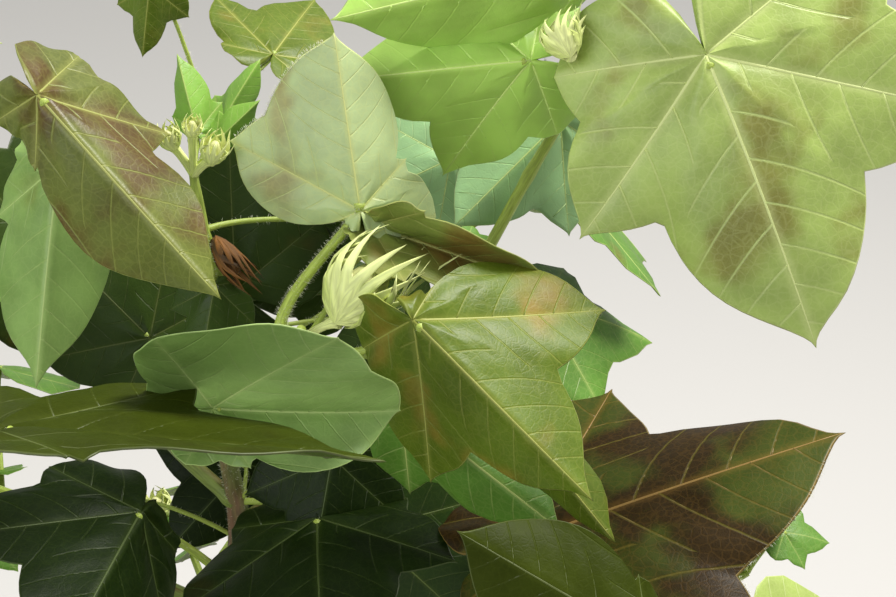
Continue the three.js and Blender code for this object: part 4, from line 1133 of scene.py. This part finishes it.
# The rest of the crown: each twig zigzags on from its bough, with a leaf on either side of each
# node and one at its end, as on the solids, and small young leaves in the angles of the stalks.
leaf_swing, stalk_rise, stalk_length_share = (-38, 38), (16, 58), (0.78, 1.12)
leaf_size_share, leaf_shape_share, blade_swing_share = (0.8, 1.06), (0.92, 1.05), (0.4, 1.6)
blade_hang, blade_roll, blade_fold, blade_droop = (-46, -4), (-22, 22), (-22, -4), (10, 34)
twig_turn, twig_fall, twig_step, twig_shortening = (12, 24), (2, 9), (40, 56), 0.12
leaf_shrink, first_leaf_turn, second_leaf_turn, second_leaf_share, end_leaf_share = 0.13, 58, 62, 0.8, 0.78
tries, shrink_per_try = 24, 0.016
solid_match, crown_edge, leaf_gap, widest_reach = 0.00004, 0.004, 0.006, 0.16
open_view = (0.142, 0.097)
grown_stem_leaves = {  # height on the stem, compass, leaf size
    "one": (372, 20, 84), "two": (466, 120, 92), "three": (514, 250, 96), "four": (562, 30, 94),
    "five": (608, 340, 94), "six": (652, 125, 90), "seven": (698, 255, 86), "eight": (738, 80, 82),
}


def grown_leaf(seed, root, heading, size):
    """A leaf by the growing rule; the numbers are drawn in the same order as for the solids."""
    pick = seeded_numbers(seed)
    swing, rise = pick(*leaf_swing), pick(*stalk_rise)
    reach = size * pick(*stalk_length_share)
    grown_size, shape = size * pick(*leaf_size_share), pick(*leaf_shape_share)
    turn = 90 - heading - swing * pick(*blade_swing_share)
    turning = leaf_turn(turn, pick(*blade_hang), pick(*blade_roll))
    fold = (pick(*blade_fold), pick(*blade_fold))
    return {"root": root, "at": root + compass_way(heading + swing, rise) * reach, "size": grown_size,
            "turning": turning, "fold": fold, "droop": pick(*blade_droop),
            "lobes": [lobe * shape for lobe in plain_lobes]}


def corners_of(node):
    return np.array([v.co[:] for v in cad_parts[node].data.vertices])


def blade_spread(leaf):
    """Points all over a blade, to keep other leaves clear of it."""
    x, y = blade_spot(leaf, *np.meshgrid(np.arange(-172, 180, 16.0), (0.35, 0.7, 1)))
    return leaf_surface(leaf, x, y, 0 * x).reshape(-1, 3)


def has_room(leaf):
    """Whether a leaf stays within the crown, out of the open view of the front, and clear of all others."""
    spread = blade_spread(leaf)
    low, high = np.array(solid_box[0]) + crown_edge, np.array(solid_box[1]) - crown_edge
    if (spread < low).any() or (spread > high).any():
        return False
    seen = (spread - np.array(sight_centre)) @ np.array(sight_turn)
    seen[:, :2] *= (sight_distance / (sight_distance - seen[:, 2]))[:, None]
    if (np.abs(seen[:, :2]) < open_view).all(1).any():
        return False
    beside = [other for other in placed_leaves if (other["at"] - leaf["at"]).length < widest_reach]
    others = np.concatenate([blade_spread(other) for other in beside])
    return np.linalg.norm(others[:, None] - spread[None], axis=2).min() > leaf_gap


def on_solid(point, corners):
    return np.linalg.norm(corners - np.array(point), axis=1).min() < solid_match


def standing_leaf(seed, root, heading, size, corners):
    """The first leaf of the rule that stands on the solids, or none where it had no room."""
    for attempt in range(tries):
        leaf = grown_leaf(seed * 10 + attempt, root, heading, size * (1 - shrink_per_try * attempt))
        tip = leaf_surface(leaf, np.array(0.0), np.array(leaf["size"]), np.array(0.0))
        if on_solid(tip, corners):
            return leaf
    return None


def grown_twig(seed, start, tip, count):
    """The nodes of a zigzag twig, each with its place, its compass way and the side it turned to."""
    pick = seeded_numbers(seed)
    heading = bough_heading(start, tip)
    compass, rise = math.degrees(math.atan2(heading.y, heading.x)), math.degrees(math.asin(heading.z))
    spot, nodes = tip + heading * first_node_gap, []
    for i in range(count):
        side = 1 if i % 2 == 0 else -1
        compass += side * pick(*twig_turn)
        rise -= pick(*twig_fall)
        spot = spot + compass_way(compass, rise) * pick(*twig_step) * 0.001 * (1 - twig_shortening * i)
        nodes.append((spot, compass, side))
    return nodes


def grown_tint(number, height):
    """Lower leaves are deep green, middle ones plain green, and the upper ones lighter; the darker low leaves
    are partly painted shade.
    """
    pick = seeded_numbers(900 + number)
    light = height + pick(-0.16, 0.16)
    if pick(0, 1) < 0.12:
        return "coppery" if light > 0.7 else "rust"
    return "deep" if light < 0.6 else "full" if light < 0.88 else "broad"


def grow(leaf, blades, tint, number):
    """Adds a grown leaf in its colour."""
    add_leaf(blades, grown_stalks, tinted(leaf, tint, number), far)


grown_levels = {"lower": "abcd", "middle": "efghi", "upper": "jklm"}
for level, letters in grown_levels.items():
    leaf_groups[level], leaf_nodes[level] = [], ["mass_" + letter for letter in letters]
leaf_groups["single"], leaf_nodes["single"] = [], ["leaf_" + name for name in grown_stem_leaves]
grown_stalks, grown_buds, twig_nodes = [], [], []
for order, (name, (_, _, _, _, count, leaf_size)) in enumerate(grown_boughs.items()):
    start, tip = bough_ends[name]
    corners = corners_of("mass_" + name)
    seed = 100 * (order + 1)
    nodes = grown_twig(seed, start, tip, count)
    grown_stalks.append(twig_part(start, tip, [node[0] for node in nodes], 8))
    blades = next(leaf_groups[level] for level, letters in grown_levels.items() if name in letters)
    for i, (spot, compass, side) in enumerate(nodes):
        size = leaf_size * 0.001 * (1 - leaf_shrink * i)
        wanted = [(10 + i, compass + side * first_leaf_turn, size),
                  (20 + i, compass - side * second_leaf_turn, size * second_leaf_share)]
        if i == count - 1:
            wanted.append((30 + i, compass, size * end_leaf_share))
        for step, heading, wanted_size in wanted:
            leaf = standing_leaf(seed + step, spot, heading, wanted_size, corners)
            if leaf:
                grow(leaf, blades, grown_tint(seed + step, spot.z), seed + step)
        twig_nodes.append((seed + 60 + i, spot, compass, leaf_size * 0.001, blades))
        pick = seeded_numbers(seed + 40 + i)
        for turn in (side * 100, -side * 25):
            young = grown_leaf(seed + 50 + i + (turn > 0), spot, compass + turn, pick(0.015, 0.026))
            grow(young, blades, "fresh" if spot.z > 0.9 else "full", seed + i)
    spot, compass, side = nodes[-1]
    lean = math.radians(compass + 90 * side)
    sideways = Vector((math.cos(lean), math.sin(lean), 0))
    base, top = (spot + sideways * out + Vector((0, 0, up)) for out, up in ((0.007, 0.007), (0.013, 0.023)))
    if on_solid(base.lerp(top, 0.72), corners):
        grown_buds.append((spot, base, top))
for order, (name, (height, compass, size)) in enumerate(grown_stem_leaves.items()):
    seed, spot = 1500 + order, stem_point(height * 0.001)
    leaf = standing_leaf(seed, spot, compass, size * 0.001, corners_of("leaf_" + name))
    if leaf:
        grow(leaf, leaf_groups["single"], grown_tint(seed, height * 0.001), seed)

# Smaller leaves fill the crown between the large ones, wherever they have room
small_leaf_share, filling_turn = (0.42, 0.7), 137.5
for i in range(4, 15):
    spot = stem_point(soil_level + stem_node_step * i)
    twig_nodes.append((2000 + i, spot, filling_turn * i, 0.085, leaf_groups["single"]))
for seed, spot, compass, size, blades in twig_nodes:
    pick = seeded_numbers(seed)
    for heading in (compass + 100, compass - 100, compass + 10):
        for attempt in range(6):
            small_size = size * pick(*small_leaf_share)
            small = grown_leaf(seed * 10 + attempt + int(heading), spot, heading, small_size)
            if has_room(small):
                grow(small, blades, grown_tint(seed + int(heading), spot.z), seed)
                break

for name, parts in leaf_groups.items():
    leaves = joined_mesh("leaves_" + name, parts, skin_list)
    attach(leaves, "root")
    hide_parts(*leaf_nodes[name])

stalk_skin = stem_material("stalk_skin", colour(172, 192, 84), colour(150, 118, 62), 0.18, 0.45, 0.35)
hair_skin = stem_material("hair_skin", colour(226, 230, 196), colour(236, 238, 214), 0.5, 0.6, 0.0)
for name, parts, masses in (("upper_twigs", laid_stalks, laid_leaves),
                            ("lower_twigs", grown_stalks, grown_boughs)):
    twigs = joined_mesh(name, parts, [stalk_skin])
    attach(twigs, "root")
    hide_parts(*["mass_" + mass for mass in masses])
heights = np.linspace(0.80, stem_top, 40)
path, radii = [stem_point(z) for z in heights], [stem_radius(z) for z in heights]
hair_parts.append(hair_part(path, radii, 1500, 0.0012, 7))
hairs = joined_mesh("fine_hairs", hair_parts, [hair_skin])
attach(hairs, "root")


# Flower buds: three pale cupped bracts with long fine teeth stand round each closed bud, on a
# short stalk. Each bract is a thin ribbed shell. One bud at the left of the front one has withered.
bract_half_angle, bract_half_thickness = 78, 0.00012
front_bracts, tip_bracts, far_bracts = (9, 12, 26), (7, 6, 10), (7, 4, 7)  # teeth, steps to a tooth, rows
front_sweep, plain_sweep, dry_sweep = sight_turn @ Vector((0.24, 0.02, 0)), (0.06, 0.02, 0), (0.1, 0.1, -0.1)
laid_squares = {  # base, tip, radius and twig node
    "centre": ((-33, -7.4, 12), (-18, 15.5, 15), 11.8, 0),
    "right": ((36.5, 71, 12), (30, 84.5, 12), 6.5, 1),
}
grown_square_radius = 0.0065
dried_square = ((-73, 19, -14), (-62, 4, -10), 4.2, 0.935)  # base, tip, radius and height on the stem
tip_squares = ((0.006, 0.006, 0.0042), (-0.005, 0.009, 0.0036), (0.001, 0.014, 0.003))  # out, up, radius


def bract_part(base, axis, side, height, radius, turn, sweep, fineness, seed, skin):
    """A bract laid round the bud: angle from its middle line, and reach up to each tooth's tip."""
    pick = seeded_numbers(seed)
    teeth, steps, rows = fineness
    angles = np.linspace(-bract_half_angle, bract_half_angle, teeth * steps + 1)
    count = len(angles)
    tooth = (angles / (2 * bract_half_angle / teeth) + 0.5 * (teeth % 2)) % 1
    peak = 1 - np.abs(2 * tooth - 1)

    def each_tooth(low, high, end):
        return np.append(np.repeat([pick(low, high) for _ in range(teeth)], steps), end)

    wild = each_tooth(0.86, 1.1, 0)
    wild[-1] = wild[-2]
    reach = (1 - 0.24 * (np.abs(angles) / bract_half_angle) ** 1.6) * (0.58 + 0.5 * wild * peak ** 1.35)
    reach[0] = reach[-1] = 0.3
    curl, lean = each_tooth(-0.25, 0.5, 0), each_tooth(-0.3, 0.3, 0)
    angle, up = np.meshgrid(angles, np.linspace(0, 1, rows))
    spread = np.radians(angle) * (1 - 0.25 * up)
    high, wide = up * reach * np.cos(spread), up * reach * np.sin(spread)
    beyond = np.clip(up * reach - 0.5, 0, 1)
    ribs = 0.014 * np.cos(2 * np.pi * (tooth - 0.5)) * np.clip(up * 3, 0, 1)
    cup = np.interp(high, (-0.1, 0, 0.15, 0.35, 0.6, 0.85, 1.1), (0.22, 0.24, 0.6, 0.86, 0.98, 0.86, 0.66))
    distance = radius * (cup + curl * beyond + ribs)
    azimuth = turn + wide * 2.5 / np.maximum(cup, 0.45) + lean * beyond
    swept = np.array(sweep) * (4 * height * beyond ** 2)[..., None]
    out = np.cos(azimuth)[..., None] * side + np.sin(azimuth)[..., None] * np.cross(axis, side)
    middle = base + axis * (high * height)[..., None]
    half = np.where(up >= 1, 0, bract_half_thickness)
    verts = np.concatenate([
        (middle + out * (distance + half * way)[..., None] + swept).reshape(-1, 3) for way in (1, -1)
    ])
    inside, tips = rows * count, (rows - 1) * count
    i, k = (grid.ravel() for grid in np.meshgrid(np.arange(rows - 1), np.arange(count - 1), indexing="ij"))
    outer = np.stack([i * count + k, i * count + k + 1, (i + 1) * count + k + 1, (i + 1) * count + k], 1)
    low = np.arange(rows - 1) * count
    rims = [np.stack([low + k, low + k + count, low + k + count + inside, low + k + inside], 1)
            for k in (0, count - 1)]
    faces = np.concatenate([outer, outer[:, ::-1] + inside, rims[0][:, ::-1], rims[1]])
    faces[faces >= inside + tips] -= inside
    flat = np.tile(np.stack([angle / (4 * bract_half_angle), up * height], -1).reshape(-1, 2), (2, 1))
    return {"verts": verts, "faces": faces, "flat": flat[faces], "skin": np.full(len(faces), skin)}


def bud_parts(root, base, tip, radius, sweep, fineness, seed, skins=(0, 1)):
    """Three bracts, the closed bud between them, and its stalk."""
    base, tip, root = (np.array(p) for p in (base, tip, root))
    height = np.linalg.norm(tip - base)
    axis = (tip - base) / height
    side = np.cross(axis, (1, 0, 0.2))
    side /= np.linalg.norm(side)
    parts = [bract_part(base, axis, side, height, radius * (1 + 0.04 * i), 2 * math.pi * i / 3 + 1.0, sweep,
                        fineness, seed + i, skins[0]) for i in range(3)]
    t = np.linspace(0.03, 0.74, 9)
    core = radius * 0.5 * np.sin(np.pi * np.clip(t / 0.8, 0, 1) ** 0.75) ** 0.7 + 0.0003
    inner = tube_part(base + axis * height * t[:, None], core, 12, skins[1])
    t = np.linspace(0, 1, 9)[:, None]
    arch = np.array([0, 0, 0.3 * np.linalg.norm(base - root)])
    stalk = root * (1 - t) + (base + axis * 0.001) * t + arch * t * (1 - t)
    width = np.linspace(0.0012, 0.0014, 9) + radius * 0.12 * np.exp(-((1 - t[:, 0]) / 0.12) ** 2)
    return parts + [inner, tube_part(stalk, width, 10, skins[0])]


front_buds, other_buds = [], []
for name, (base, tip, radius, node) in laid_squares.items():
    root = from_mm(laid_boughs[name][2][node])
    front_buds += bud_parts(root, sight_to_frame(base), sight_to_frame(tip), radius * 0.001,
                            front_sweep, front_bracts, 61)
for order, (root, base, tip) in enumerate(grown_buds):
    other_buds += bud_parts(root, base, tip, grown_square_radius, plain_sweep, far_bracts, 300 + 3 * order)
for order, (out, up, radius) in enumerate(tip_squares):
    base = tip_nodes[1] + Vector((out, -0.3 * out - 0.002, up))
    tip = base + Vector((out * 0.5, -0.002, radius * 2.4))
    front_buds += bud_parts(tip_nodes[1], base, tip, radius, plain_sweep, tip_bracts, 500 + order)
base, tip, radius, height = dried_square
front_buds += bud_parts(stem_point(height), sight_to_frame(base), sight_to_frame(tip), radius * 0.001,
                        dry_sweep, tip_bracts, 77, skins=(2, 2))
bract_skin = stem_material("bract_skin", colour(240, 248, 168), colour(212, 228, 126), 0.4, 0.5, 0.5)
bud_skin = stem_material("bud_skin", colour(214, 216, 150), colour(190, 200, 118), 0.3, 0.5, 0.4)
dry_skin = stem_material("dry_bract_skin", colour(138, 88, 24), colour(70, 48, 18), 0.5, 0.7, 0.8)
for name, parts, masses in (("front_buds", front_buds, laid_squares),
                            ("other_buds", other_buds, grown_boughs)):
    buds = joined_mesh(name, parts, [bract_skin, bud_skin, dry_skin])
    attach(buds, "root")
    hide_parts(*["mass_" + mass for mass in masses])


# Studio light: one large soft lamp above and to the right, a weaker one at the left, and a pale
# room all round. None of it is part of the plant.
def add_lamp(name, place, size, power, warm):
    lamp = bpy.data.lights.new(name, "AREA")
    lamp.shape = "DISK"
    lamp.size = size
    lamp.energy = power
    lamp.color = warm
    lamp_object = bpy.data.objects.new(name, lamp)
    lamp_object.location = place
    lamp_object.rotation_euler = (sight_centre - Vector(place)).to_track_quat("-Z", "Y").to_euler()
    bpy.context.scene.collection.objects.link(lamp_object)


add_lamp("key", (0.9, 0.5, 2.6), 0.9, 62, (1, 0.97, 0.92))
add_lamp("fill", (-1.4, -1.6, 1.9), 1.8, 26, (0.95, 0.98, 1))
room = bpy.data.worlds.new("room")
room.use_nodes = True
room.node_tree.nodes["Background"].inputs["Color"].default_value = (1, 0.99, 0.96, 1)
room.node_tree.nodes["Background"].inputs["Strength"].default_value = 0.55
bpy.context.scene.world = room
